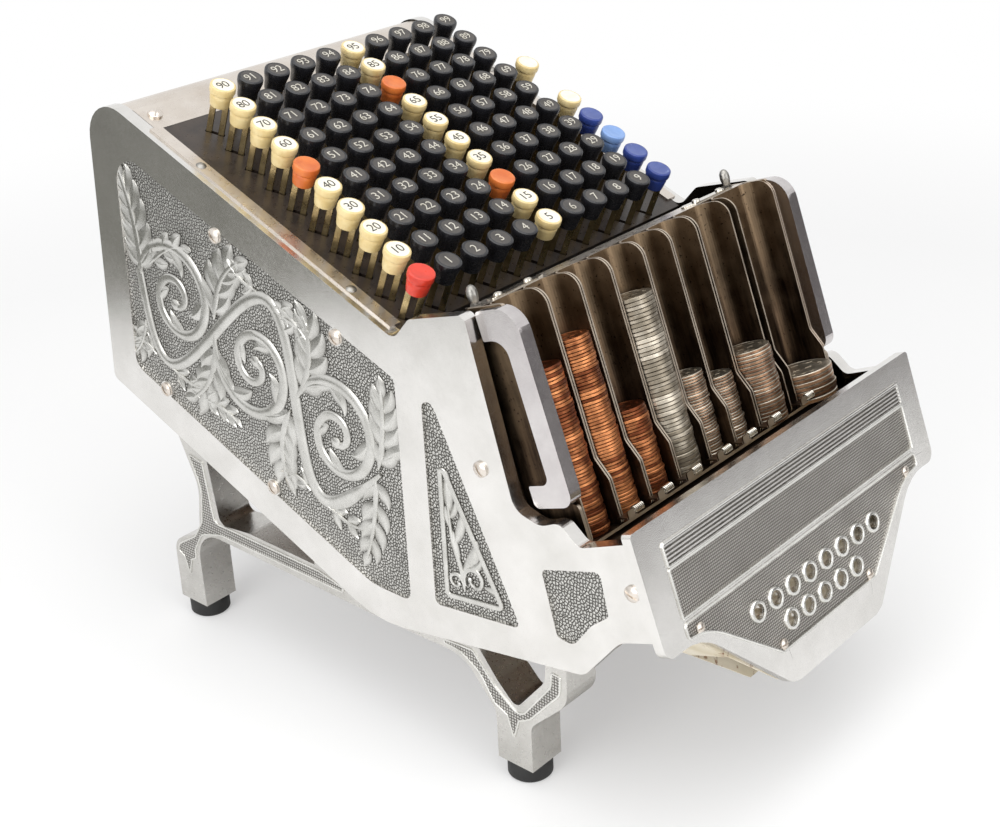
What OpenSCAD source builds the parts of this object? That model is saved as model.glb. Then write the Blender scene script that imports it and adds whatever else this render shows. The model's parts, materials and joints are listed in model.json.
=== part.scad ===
// Key-driven coin changer: two cast side plates on cast stands carry a sloping
// field of amount keys, a lift-out tray of coin channels and a hopper behind a
// cast front plate. +X is the operator's right, -Y the front, +Z up.

/* [Body] */
// Width over the outer faces of the side plates
body_w = 223; // [216:1:240]
// Thickness of each side plate
side_t = 7.2; // [6:0.1:8]
// Depth of the recessed ornament panels in the side plates
panel_depth = 1.6; // [0.6:0.1:2.5]
// Height of the lowest point of the side plates above the table
belly_z = 57.5; // [50:0.5:62]
// Height of the rear lower corner of the side plates
rear_low_z = 138; // [130:1:146]
// Distance of the rear lower corner behind the middle of the key field
rear_low_y = 152.6; // [148:0.2:160]
// How far the back edge leans forward at the top, in degrees
back_lean = 4.9; // [2:0.1:7]
// Radius of the top rear corner of the side plates
back_r = 20; // [16:0.5:22]
// Thickness of the sheet covers
sheet_t = 1.2; // [0.8:0.1:1.8]

/* [Stands] */
// Width of each stand across the machine
stand_w = 21; // [16:0.5:24]
// Step of the stand behind the outer face of the side plate
stand_step = 2; // [1:0.1:3]
// Height of the flange that rises behind the side plate
stand_flange_h = 33; // [32:0.5:36]
// Thickness of that flange
stand_flange_t = 6; // [5:0.1:8]
// Diameter of a rubber foot
foot_d = 22; // [16:0.5:24]
// Height of a rubber foot
foot_h = 9.6; // [7:0.1:12]

/* [Keys] */
// Spacing of the keys across a row
key_pitch = 17.5; // [17:0.1:18]
// Least distance of a key's middle from the side plate
key_edge = 6.9; // [6.8:0.1:8]
// Spacing of the rows up the slope
row_pitch = 17.1; // [16.6:0.1:17.4]
// Sideways step from one row to the next
row_stagger = 1.8; // [0:0.1:2]
// Slope of the key field to the table, in degrees
key_slope = 22.6; // [21:0.1:24]
// Height of the key tops above the table at the middle of the field
key_field_z = 272.9; // [268:0.5:280]
// Height of the key tops above the key plate
key_rise = 27.8; // [25:0.1:30]
// Travel of a pressed key
key_travel = 7; // [4:0.1:9]
// Diameter of a key cap
cap_d = 12.8; // [11:0.1:13.5]
// Height of a key cap
cap_h = 11.4; // [9:0.1:13]
// Width of one leg of the forked key stem
stem_leg_w = 3; // [2:0.1:3.4]
// Thickness of the key stem
stem_t = 1.4; // [1:0.1:2]
// Spacing of the two legs of a stem
stem_gap = 6.2; // [5.6:0.1:6.6]
// Turn of the flat stems from the row direction, in degrees
stem_turn = -57; // [-70:1:-40]
// Length of a stem below the top of the key plate
stem_reach = 24; // [22:0.5:26]
// Thickness of the key plate
key_plate_t = 4; // [3:0.1:5]
// Clearance around a stem in its slots
stem_clear = 0.4; // [0.3:0.05:0.6]
// Width of the rails that hold down the key plate
rail_w = 6.6; // [5:0.1:8]
// Thickness of the rails
rail_t = 1; // [0.6:0.1:1.6]

/* [Coin tray] */
// Lean of the coin columns behind vertical, in degrees
tray_lean = 19.5; // [17:0.1:21]
// Distance of the coin base in front of the middle of the key field
tray_reach = 160.5; // [158:0.5:163]
// Height of the coin base above the table
tray_z = 138.5; // [136:0.5:141]
// Height of the tray walls above the coin base
tray_h = 110; // [106:0.5:114]
// Inner depth of a coin channel behind the upper wall edges
channel_back = 14.8; // [13.8:0.1:15.8]
// Thickness of the channel sheet
channel_t = 0.9; // [0.6:0.05:1.1]
// Play of a coin in its channel, across
coin_play = 0.6; // [0.3:0.05:1.1]
// Thickness of the tray end plates
end_t = 1.8; // [1.2:0.1:2.4]
// Gap between the tray's end plates and the side plates
end_gap = 3.8; // [3.4:0.1:4.2]
// Thickness of a hand grip beyond its end plate
grip_t = 5.4; // [4.2:0.1:6.4]
// Width of the bar of a hand grip
grip_bar = 10.4; // [8:0.1:12]
// Thickness of the bar along the top of the tray
top_bar_t = 3; // [2:0.1:4]
// Depth of the bar along the top of the tray
top_bar_d = 11; // [8:0.5:12]

/* [Front] */
// Distance of the front plate's face in front of the coin base
front_reach = 42.4; // [41:0.1:44]
// Height of the front plate's top edge above the coin base
front_top = 10; // [8:0.5:12]
// Overlap of the front plate beyond each side plate
front_lap = 2; // [1.5:0.1:2.5]
// Height of the front plate from tongue to top edge
front_h = 106; // [103:0.5:110]
// Thickness of the front plate
front_t = 5; // [4:0.1:5.5]
// Spacing of the eyelets
eyelet_pitch = 14.1; // [13:0.1:14.6]
// Inner diameter of an eyelet
eyelet_d = 7; // [5:0.1:7.6]
// Outer diameter of an eyelet's rim
eyelet_rim_d = 9; // [8:0.1:10]

/* [Mechanism] */
// Stroke of an ejector slide
slide_stroke = 18; // [14:0.5:20]
// Distance from the lever shaft down to the drive pins
lever_drop = 60; // [56:0.5:64]
// Width of an ejector slide
slide_w = 10; // [9:0.1:11]
// Thickness of an ejector slide
slide_t = 1.8; // [1.4:0.1:2.2]
// Diameter of the lever shaft
shaft_d = 8; // [6:0.1:9]
// Thickness of a lever
lever_t = 3; // [2:0.1:3.4]
// Diameter of a tie rod
tie_d = 8; // [7:0.1:9]
// Running clearance between moving pieces
run_clear = 0.3; // [0.25:0.01:0.4]

/* [Fasteners] */
// Diameter of a screw head
screw_head_d = 7.6; // [6.5:0.1:8.5]
// Height of a screw head
screw_head_h = 2.2; // [1.6:0.1:3]
// Diameter of a screw shank
screw_d = 4; // [3:0.1:4.4]

/* [Hidden] */
$fn = 48;
key_rows = 10;
// Rows, counted from the front, that have a key in the extra right-hand column
extra_key_rows = [1, 2, 3, 4, 5, 7];
// Diameters of the coins in the channels, left to right
coin_d = [19.05, 19.05, 19.05, 21.21, 17.91, 17.91, 24.26, 30.61];
// Thickness of one coin of each channel
coin_t = [1.52, 1.52, 1.52, 1.95, 1.35, 1.35, 1.75, 2.15];
// Coins standing in each channel
coin_count = [51, 55, 28, 45, 31, 25, 22, 7];
channels = len(coin_d);
// Gaps between neighbouring channels, left to right
channel_gaps = [0.55, 0.55, 0.55, 0.55, 0.55, 1, 5];
denominations = [[0, 1, 2], [3], [4, 5], [6], [7]];
lever_names = [for (i = [1:channels]) str("lever_", i)];
ejector_names = [for (i = [1:channels]) str("ejector_", i)];
row_names = [for (i = [1:key_rows]) str("key_row_", i)];

// Colours of the finishes
cast_grey = [0.74, 0.74, 0.73];
nickel = [0.70, 0.66, 0.60];
tarnish = [0.36, 0.29, 0.23];
steel = [0.55, 0.55, 0.55];
cream = [0.86, 0.82, 0.70];
copper = [0.72, 0.42, 0.24];
coin_silver = [0.70, 0.68, 0.64];
dark = [0.13, 0.11, 0.10];

// Small clearance of fixed pieces that lie side by side
seat = 0.2;
half_w = body_w / 2;
inner_x = half_w - side_t;

// Points of the side view, y back and z up, worked out in the sloping frames
function turn(p, a) = [p[0] * cos(a) - p[1] * sin(a), p[0] * sin(a) + p[1] * cos(a)];
function key_pt(y, z) = [0, key_field_z] + turn([y, z], key_slope);
function tray_pt(y, z) = [-tray_reach, tray_z] + turn([y, z], -tray_lean);
function corner(p, r) = [p[0], p[1], r];

// An outline of [x, y, radius] corners, with each radius drawn as an arc
function unit(v) = v / norm(v);
function wrap(a) = a > 180 ? a - 360 : (a < -180 ? a + 360 : a);
function arc_points(a, b, c, r) =
    let (d1 = unit(a - b), d2 = unit(c - b), half = acos(d1 * d2) / 2)
    let (mid = b + unit(d1 + d2) * r / sin(half), p1 = b + d1 * r / tan(half), p2 = b + d2 * r / tan(half))
    let (a1 = atan2(p1[1] - mid[1], p1[0] - mid[0]), a2 = atan2(p2[1] - mid[1], p2[0] - mid[0]))
    let (sweep = wrap(a2 - a1), steps = max(2, ceil(abs(sweep) / 12)))
    [for (i = [0:steps]) mid + r * [cos(a1 + sweep * i / steps), sin(a1 + sweep * i / steps)]];
function xy(p) = [p[0], p[1]];
function rounded(corners) =
    let (n = len(corners))
    [for (i = [0:n - 1])
        let (p = corners[i], a = xy(corners[(i + n - 1) % n]), c = xy(corners[(i + 1) % n]))
        each (p[2] > 0 ? arc_points(a, xy(p), c, p[2]) : [xy(p)])];

// Key frame: y up the slope, z off the key tops
plate_z = -key_rise;
plate_front_y = -(key_rows / 2 - 0.5) * row_pitch - 6;
plate_rear_y = (key_rows / 2 - 0.5) * row_pitch + 14.5;
stem_end_z = plate_z - stem_reach;
tie_z = plate_z - 22.7;
tie_rows = [-3, 2];
guide_z = tie_z + tie_d / 2 + 0.1;

// Tray frame: y back, z along the coin columns, origin at the coin base
function total(v, n) = n == 0 ? 0 : v[n - 1] + total(v, n - 1);
tray_half = inner_x - end_gap - end_t - seat;
end_in = tray_half + seat;
end_out = end_in + end_t;
// The channels fill the tray, so coins and channels follow its width
coin_room = 2 * tray_half - channels * (coin_play + 2 * channel_t) - total(channel_gaps, channels - 1);
coin_fit = coin_room / total(coin_d, channels);
function coin_size(i) = coin_d[i] * coin_fit;
function channel_w(i) = coin_size(i) + coin_play;
function channel_x(i) = -tray_half + total(channel_gaps, i) + coin_fit * total(coin_d, i)
    + i * (coin_play + 2 * channel_t) + channel_t + channel_w(i) / 2;
coin_seat = 0.4;
function coin_y(i) = channel_back - coin_seat - coin_size(i) / 2;
wall_front = -1;
lip_front = -6;
lip_top = 21;
lip_blend = 10;
floor_t = 1.4;
floor_top = -0.1;
slide_top = floor_top - floor_t - run_clear;
slide_bottom = slide_top - slide_t;
bed_top = slide_bottom - run_clear;
bed_t = 1.4;
bed_front = -7;
bed_rear = 30;
finger_w = 5;
finger_depth = 3;
finger_clear = 0.6;
finger_rest = channel_back + 0.6;
finger_notch_z = 3.2;
pin_d = 4;
pin_z = 6;
pin_rest_y = 72;
shaft_y = pin_rest_y - slide_stroke / 2;
shaft_z = pin_z + lever_drop;
lever_half_swing = atan(slide_stroke / 2 / lever_drop);
front_face = -front_reach;
front_back = front_face + front_t;
front_low = front_top - front_h;

// Side plate outline
back_top = back_corner();
function back_corner() =
    let (up = turn([0, 1], back_lean), along = turn([1, 0], key_slope), o = key_pt(0, plate_z))
    let (d = [rear_low_y, rear_low_z] - o, cross_ua = up[0] * along[1] - up[1] * along[0])
    [rear_low_y, rear_low_z] + up * (along[0] * d[1] - along[1] * d[0]) / cross_ua;
// The rear strip ends where the rounded top corner starts
back_run = back_r / tan((90 - key_slope + back_lean) / 2);
strip_rear_y = turn(back_top - [0, key_field_z], -key_slope)[0] - back_run - 0.8;
belly_y = -40;
side_outline = rounded([
    corner(back_top, back_r),
    corner([rear_low_y, rear_low_z], 4),
    corner([belly_y, belly_z], 60),
    corner(tray_pt(10.4, -57.7), 10),
    corner(tray_pt(-17, -40.5), 14),
    corner(tray_pt(front_back + seat, -40), 0),
    corner(tray_pt(front_back + seat, 5), 0),
    corner(tray_pt(-10.2, 3.3), 5),
    corner(tray_pt(-3, 15), 6),
    corner(tray_pt(9, 13.5), 10),
    corner(tray_pt(21.4, 21.5), 9),
    corner(tray_pt(15.3, tray_h), 4),
    corner(key_pt(plate_front_y - 5, -13), 5),
    corner(key_pt(plate_front_y - 0.3, plate_z), 6)]);
main_panel = rounded([
    corner(key_pt(strip_rear_y + 2.3, plate_z - 20), 14),
    corner([rear_low_y - 22, rear_low_z + 12.5], 8),
    corner([belly_y + 2, belly_z + 21], 30),
    corner([belly_y - 24.5, belly_z + 21], 5),
    corner(key_pt(-89.5, plate_z - 19), 4)]);
side_panel = rounded([
    corner(tray_pt(53.6, 88), 4),
    corner([belly_y - 41, belly_z + 26], 3),
    corner([belly_y - 94, belly_z + 33], 3)]);
shield_panel = rounded([
    corner(tray_pt(16.4, -6.8), 3),
    corner(tray_pt(-17.8, -7.6), 3),
    corner(tray_pt(-15, -28.6), 2),
    corner(tray_pt(-3.5, -33), 9),
    corner(tray_pt(11, -43), 6),
    corner(tray_pt(19.4, -39.5), 3)]);

// Stand outline, with its flange behind the side plate
leg_block = 21.4;
front_foot_y = -125;
rear_foot_y = 112.5;
bar_low_z = 60;
bar_top_z = 72.5;
function edge_z(y) = y > belly_y
    ? belly_z + (y - belly_y) * (rear_low_z - belly_z) / (rear_low_y - belly_y)
    : belly_z + (belly_y - y) * (tray_pt(10.4, -57.7)[1] - belly_z) / (belly_y - tray_pt(10.4, -57.7)[0]);
function flange_z(y) = edge_z(y) + stand_flange_h;
stand_rear_y = 122;
// The stand's windows run a little way up behind the side plate
window_rise = 2.5;
window_front_y = 6;
stand_front_y = -158;
stand_outline = rounded([
    corner([stand_rear_y, flange_z(stand_rear_y)], 6),
    corner([stand_rear_y, edge_z(stand_rear_y) + 4], 3),
    corner([rear_foot_y - 4, edge_z(rear_foot_y - 4) + 3], 0),
    corner([rear_foot_y - 18.5, 88], 22),
    corner([rear_foot_y - 13.5, 58], 10),
    corner([rear_foot_y + leg_block / 2 - 0.5, 46], 12),
    corner([rear_foot_y + leg_block / 2, foot_h], 0),
    corner([rear_foot_y - leg_block / 2, foot_h], 0),
    corner([rear_foot_y - leg_block / 2, bar_low_z], 19),
    corner([belly_y, bar_low_z - 2], 0),
    corner([front_foot_y + 30, bar_low_z - 1], 20),
    corner([front_foot_y + leg_block / 2, 36], 10),
    corner([front_foot_y + leg_block / 2, foot_h], 0),
    corner([front_foot_y - leg_block / 2, foot_h], 0),
    corner([front_foot_y - leg_block / 2, 36], 8),
    corner([stand_front_y, 58], 14),
    corner([stand_front_y, edge_z(stand_front_y) + 12], 4),
    corner([belly_y, flange_z(belly_y) - 8], 40)]);
rear_window = rounded([
    corner([rear_foot_y - 27.6, edge_z(rear_foot_y - 27.6) + window_rise], 0),
    corner([rear_foot_y - 33, bar_top_z - 3], 5),
    corner([rear_foot_y - 56, bar_top_z], 30),
    corner([window_front_y, bar_top_z - 0.5], 0),
    corner([window_front_y, edge_z(window_front_y) + window_rise], 0)]);
front_window = rounded([
    corner([front_foot_y + 22.5, edge_z(front_foot_y + 22.5) + window_rise], 0),
    corner([front_foot_y + 9, 54], 8),
    corner([front_foot_y - 2, 43], 4),
    corner([front_foot_y - 20, 65], 10),
    corner([front_foot_y - 21.2, edge_z(front_foot_y - 21.2) + window_rise], 0)]);

// Screw places: side view points, and front plate points as [x, z in the tray frame]
tie_points = concat([for (r = tie_rows) key_pt(r * row_pitch, tie_z)], [tray_pt(34, 41)]);
flange_points = [for (y = [rear_foot_y - 5.5, rear_foot_y - 83.9]) [y, edge_z(y) + stand_flange_h - 9]];
hopper_place = [front_back + 4.5, front_top - 27];
hopper_point = tray_pt(hopper_place[0], hopper_place[1]);
front_w = body_w + 2 * front_lap;
front_half = front_w / 2;
front_screw_x = front_half - 26;
front_screws = [[-front_screw_x, -44], [-37.5, -76.5], [37.5, -76.5], [front_screw_x, -44]];
strip_screw_y = plate_rear_y + 11;
rivet_rows = [-48.4, 57.2];
rivet_hole_d = 2.6;

// Placement: the middle of the object's box is the origin in y
front_most = tray_pt(front_face, front_low)[0];
y_mid = (front_most + rear_low_y) / 2;
module at_machine() {
    translate([0, -y_mid, 0]) children();
}
module key_frame() {
    at_machine() translate([0, 0, key_field_z]) rotate([key_slope, 0, 0]) children();
}
module tray_frame() {
    at_machine() translate([0, -tray_reach, tray_z]) rotate([-tray_lean, 0, 0]) children();
}
module side_slab(x0, x1) {
    translate([x0, 0, 0]) rotate([90, 0, 90]) linear_extrude(x1 - x0) children();
}
module front_slab(y0, y1) {
    translate([0, y1, 0]) rotate([90, 0, 0]) linear_extrude(y1 - y0) children();
}
module both_sides() {
    children();
    mirror([1, 0, 0]) children();
}
module rod_x(d, x0, x1, y, z) {
    translate([x0, y, z]) rotate([0, 90, 0]) cylinder(d = d, h = x1 - x0);
}

// Side plates
module side_plate() {
    color(cast_grey) at_machine() difference() {
        side_slab(-half_w, -inner_x) polygon(side_outline);
        side_slab(-half_w - 1, -half_w + panel_depth) panel_area();
        for (p = concat(tie_points, flange_points, [hopper_point]))
            rod_x(screw_d + 0.2, -half_w - 1, -inner_x + 1, p[0], p[1]);
        for (y = rivet_rows) rivet_hole(y);
    }
}
// The panels leave a round boss under each screw head
module panel_area() {
    difference() {
        union() {
            polygon(main_panel);
            polygon(side_panel);
            polygon(shield_panel);
        }
        for (p = concat(tie_points, flange_points)) translate(p) circle(d = screw_head_d + 1.4);
    }
}
module rivet_hole(y) {
    p = key_pt(y, plate_z);
    translate([-rail_x(), p[0], p[1]]) rotate([key_slope, 0, 0]) translate([0, 0, -6])
        cylinder(d = rivet_hole_d, h = 12);
}
function rail_x() = inner_x + 0.4;
module side_plate_left() side_plate();
module side_plate_right() mirror([1, 0, 0]) side_plate();

// Stands and feet
module stand() {
    color(cast_grey) at_machine() difference() {
        union() {
            side_slab(-half_w + stand_step, -half_w + stand_step + stand_w) difference() {
                polygon(stand_outline);
                polygon(side_outline);
            }
            side_slab(-inner_x + seat, -inner_x + seat + stand_flange_t) polygon(stand_outline);
        }
        side_slab(-half_w, -half_w + 2 * stand_w) polygon(rear_window);
        side_slab(-half_w, -half_w + 2 * stand_w) polygon(front_window);
        for (p = flange_points) rod_x(screw_d + 0.2, -half_w, 0, p[0], p[1]);
    }
}
module stand_left() stand();
module stand_right() mirror([1, 0, 0]) stand();
foot_x = half_w - stand_step - stand_w / 2;
module rubber_foot() {
    rotate_extrude() polygon([[0, 0], [foot_d / 2 - 1.2, 0], [foot_d / 2, 1.2],
        [foot_d / 2, foot_h - 2], [foot_d / 2 - 0.8, foot_h], [0, foot_h]]);
}
module rubber_feet() {
    color(dark) at_machine() both_sides() for (y = [front_foot_y, rear_foot_y])
        translate([-foot_x, y, 0]) rubber_foot();
}

// Covers
module rear_cover() {
    color(nickel) at_machine() side_slab(-inner_x + seat, inner_x - seat)
        polygon(concat(cover_line(cover_inset), reversed(cover_line(cover_inset + sheet_t))));
}
cover_inset = 1;
function reversed(v) = [for (i = [len(v) - 1:-1:0]) v[i]];
function cover_line(inset) =
    let (back_in = turn([-1, 0], back_lean), top_in = turn([0, -1], key_slope))
    let (bend = back_top + inset * (back_in + top_in) / (1 + back_in * top_in))
    let (low = [rear_low_y, rear_low_z] + back_in * inset + turn([0, 4], back_lean))
    let (front = key_pt(strip_rear_y + seat, plate_z - inset))
    concat([low], arc_points(low, bend, front, back_r - inset), [front]);
module rear_strip() {
    color(nickel) key_frame() difference() {
        translate([-inner_x + seat, plate_rear_y + seat, plate_z - sheet_t])
            cube([2 * (inner_x - seat), strip_rear_y - plate_rear_y - seat, sheet_t]);
        for (s = [-1, 1]) translate([s * strip_x(), strip_screw_y, plate_z - 5])
            cylinder(d = screw_d + 0.2, h = 10);
    }
}
function strip_x() = inner_x - 8;
module base_pan() {
    pan_half = inner_x - seat - stand_flange_t - seat;
    front = tray_pt(10, -56);
    rear = [rear_low_y - 5, edge_z(rear_low_y - 5) + 3];
    low = [belly_y, belly_z + 3];
    color(tarnish) at_machine() side_slab(-pan_half, pan_half)
        polygon([rear, low, front, front + [0, sheet_t], low + [0, sheet_t], rear + [0, sheet_t]]);
}

// Key field
module stem_slot(grow) {
    rotate(stem_turn) square([stem_gap + stem_leg_w + 2 * grow, stem_t + 2 * grow], center = true);
}
// As many columns of keys as the width takes
key_columns = floor(2 * (inner_x - key_edge - row_stagger * (key_rows - 1) / 2) / key_pitch);
function key_x(c, r) = (c - key_columns / 2) * key_pitch + row_stagger * (r - key_rows / 2 - 0.5);
function key_y(r) = row_pitch * (r - key_rows / 2 - 0.5);
function has_extra(r) = len(search(r, extra_key_rows)) > 0;
function row_keys(r) = [for (c = [0:key_columns - (has_extra(r) ? 0 : 1)]) [key_x(c, r), key_y(r)]];
module slotted_sheet(half, front, rear) {
    difference() {
        translate([-half, front]) square([2 * half, rear - front]);
        for (r = [1:key_rows], p = row_keys(r)) translate(p) stem_slot(stem_clear);
    }
}
module key_plate() {
    color(dark) key_frame() translate([0, 0, plate_z - key_plate_t]) linear_extrude(key_plate_t)
        difference() {
            slotted_sheet(inner_x - seat, plate_front_y, plate_rear_y);
            for (s = [-1, 1], y = rivet_rows) translate([s * rail_x(), y]) circle(d = rivet_hole_d);
        }
}
module guide_plate() {
    color(steel) key_frame() translate([0, 0, guide_z]) linear_extrude(sheet_t)
        slotted_sheet(inner_x - seat, plate_front_y + 2, plate_rear_y);
}
module rail() {
    rail_front = plate_front_y + 6;
    color(nickel) key_frame() difference() {
        translate([-inner_x - rail_w / 2, rail_front, plate_z]) cube([rail_w, plate_rear_y + 1 - rail_front, rail_t]);
        for (y = rivet_rows) translate([-rail_x(), y, plate_z - 1]) cylinder(d = rivet_hole_d, h = rail_t + 2);
    }
}
module rail_left() rail();
module rail_right() mirror([1, 0, 0]) rail();
module rail_rivets() {
    color(nickel) both_sides() key_frame() for (y = rivet_rows) translate([-rail_x(), y, plate_z + rail_t])
        union() {
            intersection() {
                translate([0, 0, -2.4]) sphere(r = 3.6);
                cylinder(d = 5.2, h = 3);
            }
            translate([0, 0, -rail_t - 3]) cylinder(d = rivet_hole_d - 0.1, h = rail_t + 3.2);
        }
}
module key_cap() {
    r = cap_d / 2;
    rotate_extrude() polygon([[0, 0], [r - 0.7, 0], [r, -0.7], [r, -0.32 * cap_h], [r - 0.9, -0.4 * cap_h],
        [r - 0.9, -0.46 * cap_h], [r - 0.5, -0.52 * cap_h], [r - 1.2, -cap_h], [0, -cap_h]]);
}
module key_row(r) {
    leg_top = -cap_h / 2;
    leg_h = leg_top - stem_end_z;
    color(dark) key_frame() for (p = row_keys(r)) translate([p[0], p[1], 0]) union() {
        key_cap();
        rotate(stem_turn) for (s = [-1, 1]) translate([s * stem_gap / 2, 0, leg_top - leg_h / 2])
            cube([stem_leg_w, stem_t, leg_h], center = true);
    }
}

// Frame rods and screws
module tie_rods() {
    color(steel) at_machine() for (p = tie_points) difference() {
        rod_x(tie_d, -inner_x, inner_x, p[0], p[1]);
        for (s = [-1, 1]) rod_x(screw_d + 0.2, s * inner_x - 8, s * inner_x + 8, p[0], p[1]);
    }
}
module screw(grip_length) {
    difference() {
        union() {
            intersection() {
                translate([0, 0, screw_head_h - 6.5]) sphere(r = 6.5);
                cylinder(d = screw_head_d, h = screw_head_h);
            }
            translate([0, 0, -grip_length]) cylinder(d = screw_d, h = grip_length + 0.2);
        }
        translate([-screw_head_d, -0.5, screw_head_h - 1]) cube([2 * screw_head_d, 1, 2]);
    }
}
module screws() {
    color(nickel) both_sides() at_machine() {
        for (p = concat(tie_points, flange_points)) translate([-half_w, p[0], p[1]])
            rotate([0, -90, 0]) rotate(35) screw(side_t + 5);
        translate([-half_w, hopper_point[0], hopper_point[1]]) rotate([0, -90, 0]) rotate(70) screw(side_t + 1.4);
    }
    color(nickel) both_sides() key_frame()
        translate([-strip_x(), strip_screw_y, plate_z]) rotate(50) screw(4);
    color(nickel) tray_frame() for (p = front_screws)
        translate([p[0], front_face + front_relief, p[1]]) rotate([90, 0, 0]) scale(small_screw) screw(8);
}

// Front plate and hopper
front_outline = rounded([
    corner([-front_half, front_top], 2),
    corner([-front_half, front_top - 58], 6),
    corner([-front_half + 24, front_top - 57], 30),
    corner([-40, front_low + 2], 5),
    corner([-34, front_low], 2),
    corner([34, front_low], 2),
    corner([40, front_low + 2], 5),
    corner([front_half - 24, front_top - 57], 30),
    corner([front_half, front_top - 58], 6),
    corner([front_half, front_top], 2)]);
band_half = front_half - 16.5;
band_high = front_top - 23;
band_low = front_top - 45.5;
field_high = front_top - 48;
field_outline = rounded([
    corner([-band_half, field_high], 2),
    corner([-band_half, field_high - 7], 2),
    corner([-band_half + 13, field_high - 7.5], 34),
    corner([-40, front_low + 17], 2),
    corner([40, front_low + 17], 2),
    corner([band_half - 13, field_high - 7.5], 34),
    corner([band_half, field_high - 7], 2),
    corner([band_half, field_high], 2)]);
eyelet_places = concat(
    [for (i = [0:7]) [(i - 3.5) * eyelet_pitch, front_top - 64.7]],
    [for (i = [0:4]) [(i - 2) * eyelet_pitch, front_top - 78.1]]);
rib_count = 5;
rib_pitch = 1.8;
front_relief = 0.8;
// Size of the front plate's screws beside the frame screws
small_screw = 0.7;
module front_plate() {
    color(cast_grey) tray_frame() difference() {
        union() {
            difference() {
                front_slab(front_face, front_back) polygon(front_outline);
                front_slab(front_face - 1, front_face + front_relief)
                    translate([-band_half, band_low]) square([2 * band_half, band_high - band_low]);
                front_slab(front_face - 1, front_face + front_relief) polygon(field_outline);
            }
            for (i = [0:rib_count - 1]) translate([-band_half, front_face - front_relief, front_top - 13 - i * rib_pitch])
                cube([2 * band_half, front_relief + 0.4, 0.8]);
            for (p = eyelet_places) translate([p[0], front_face + front_relief + 0.4, p[1]]) rotate([90, 0, 0])
                cylinder(d = eyelet_rim_d, h = front_relief + 0.4);
        }
        for (p = eyelet_places) translate([p[0], front_back + 1, p[1]]) rotate([90, 0, 0])
            cylinder(d = eyelet_d, h = front_t + 4);
        for (p = front_screws) translate([p[0], front_back + 1, p[1]]) rotate([90, 0, 0])
            cylinder(d = small_screw * screw_d + 0.2, h = front_t + 4);
        for (p = front_screws) translate([p[0], front_face + front_relief, p[1]]) rotate([90, 0, 0])
            cylinder(d = small_screw * screw_head_d + 0.6, h = 2 * front_relief);
    }
}
hopper_t = 1.2;
function hopper_outline(inset, low) = [
    [-inner_x + seat + inset, front_top - 16],
    [-inner_x + seat + inset, front_top - 46],
    [-42 + inset, front_low + low],
    [42 - inset, front_low + low],
    [inner_x - seat - inset, front_top - 46],
    [inner_x - seat - inset, front_top - 16]];
function hopper_section(inset, front, low) = [
    [front, front_top - 16],
    [front, front_low + low],
    [front_back + 17 - inset, front_low + low],
    [bed_front + 5 - inset, bed_top - bed_t - 12],
    [bed_front + 5 - inset, front_top - 16]];
module hopper_block(inset, front, low) {
    intersection() {
        front_slab(-60, 20) polygon(hopper_outline(inset, low));
        side_slab(-half_w, half_w) polygon(hopper_section(inset, front, low));
    }
}
module hopper() {
    flange_w = 17;
    color(cream) tray_frame() difference() {
        union() {
            difference() {
                hopper_block(0, front_back + seat, 4);
                hopper_block(hopper_t, front_back - 2, 2);
                translate([-half_w, bed_front - 1, bed_top - bed_t - seat]) cube([2 * half_w, 40, 20]);
            }
            front_slab(front_back + seat, front_back + seat + hopper_t) difference() {
                polygon(hopper_outline(0, 4));
                polygon(hopper_outline(flange_w, -6));
            }
        }
        both_sides() rod_x(screw_d + 0.2, -half_w, -inner_x + 20, hopper_place[0], hopper_place[1]);
        for (p = front_screws) translate([p[0], front_back + 4, p[1]]) rotate([90, 0, 0])
            cylinder(d = small_screw * screw_d + 0.2, h = 8);
    }
}

// Coin tray
wall_outline = rounded([
    corner([channel_back + channel_t, -0.5], 0),
    corner([lip_front, -0.5], 3),
    corner([lip_front, lip_top], 5),
    corner([wall_front, lip_top + lip_blend], 5),
    corner([wall_front, tray_h], 8),
    corner([channel_back + channel_t, tray_h], 0)]);
grip_front = -8.5;
grip_low = 19.5;
grip_rear = 14.2;
gap_low = 30;
gap_high = tray_h - 14;
// The end plates stop behind the bars of the grips and reach on behind the channels
end_reach = 7;
end_rear = channel_back + channel_t + seat + sheet_t + end_reach;
end_front = grip_front + grip_bar + 0.1;
end_outline = rounded([
    corner([end_rear, bed_top + run_clear], 0),
    corner([lip_front, bed_top + run_clear], 3),
    corner([lip_front, grip_low - 0.5], 3),
    corner([end_front, grip_low - 0.5], 0),
    corner([end_front, tray_h], 2),
    corner([end_rear, tray_h], 0)]);
module end_plate() {
    color(tarnish) tray_frame() side_slab(-end_out, -end_in) polygon(end_outline);
}
module end_plate_left() end_plate();
module end_plate_right() mirror([1, 0, 0]) end_plate();
module channel_section(i, grow, front) {
    w = channel_w(i) / 2 + grow;
    back = channel_back + grow;
    polygon(rounded([
        corner([-w, front], 0),
        corner([-w, back], 6 + grow),
        corner([w, back], 6 + grow),
        corner([w, front], 0)]));
}
module coin_channel(i) {
    translate([channel_x(i), 0, 0]) difference() {
        intersection() {
            translate([0, 0, floor_top + 0.1]) linear_extrude(tray_h) difference() {
                channel_section(i, channel_t, lip_front - 1);
                channel_section(i, 0, lip_front - 2);
            }
            side_slab(-30, 30) polygon(wall_outline);
        }
        translate([-finger_w / 2 - finger_clear, channel_back - 8, -1])
            cube([finger_w + 2 * finger_clear, 20, finger_notch_z + 1]);
    }
}
module coin_channels() {
    color(tarnish) tray_frame() for (i = [0:channels - 1]) coin_channel(i);
}
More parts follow.
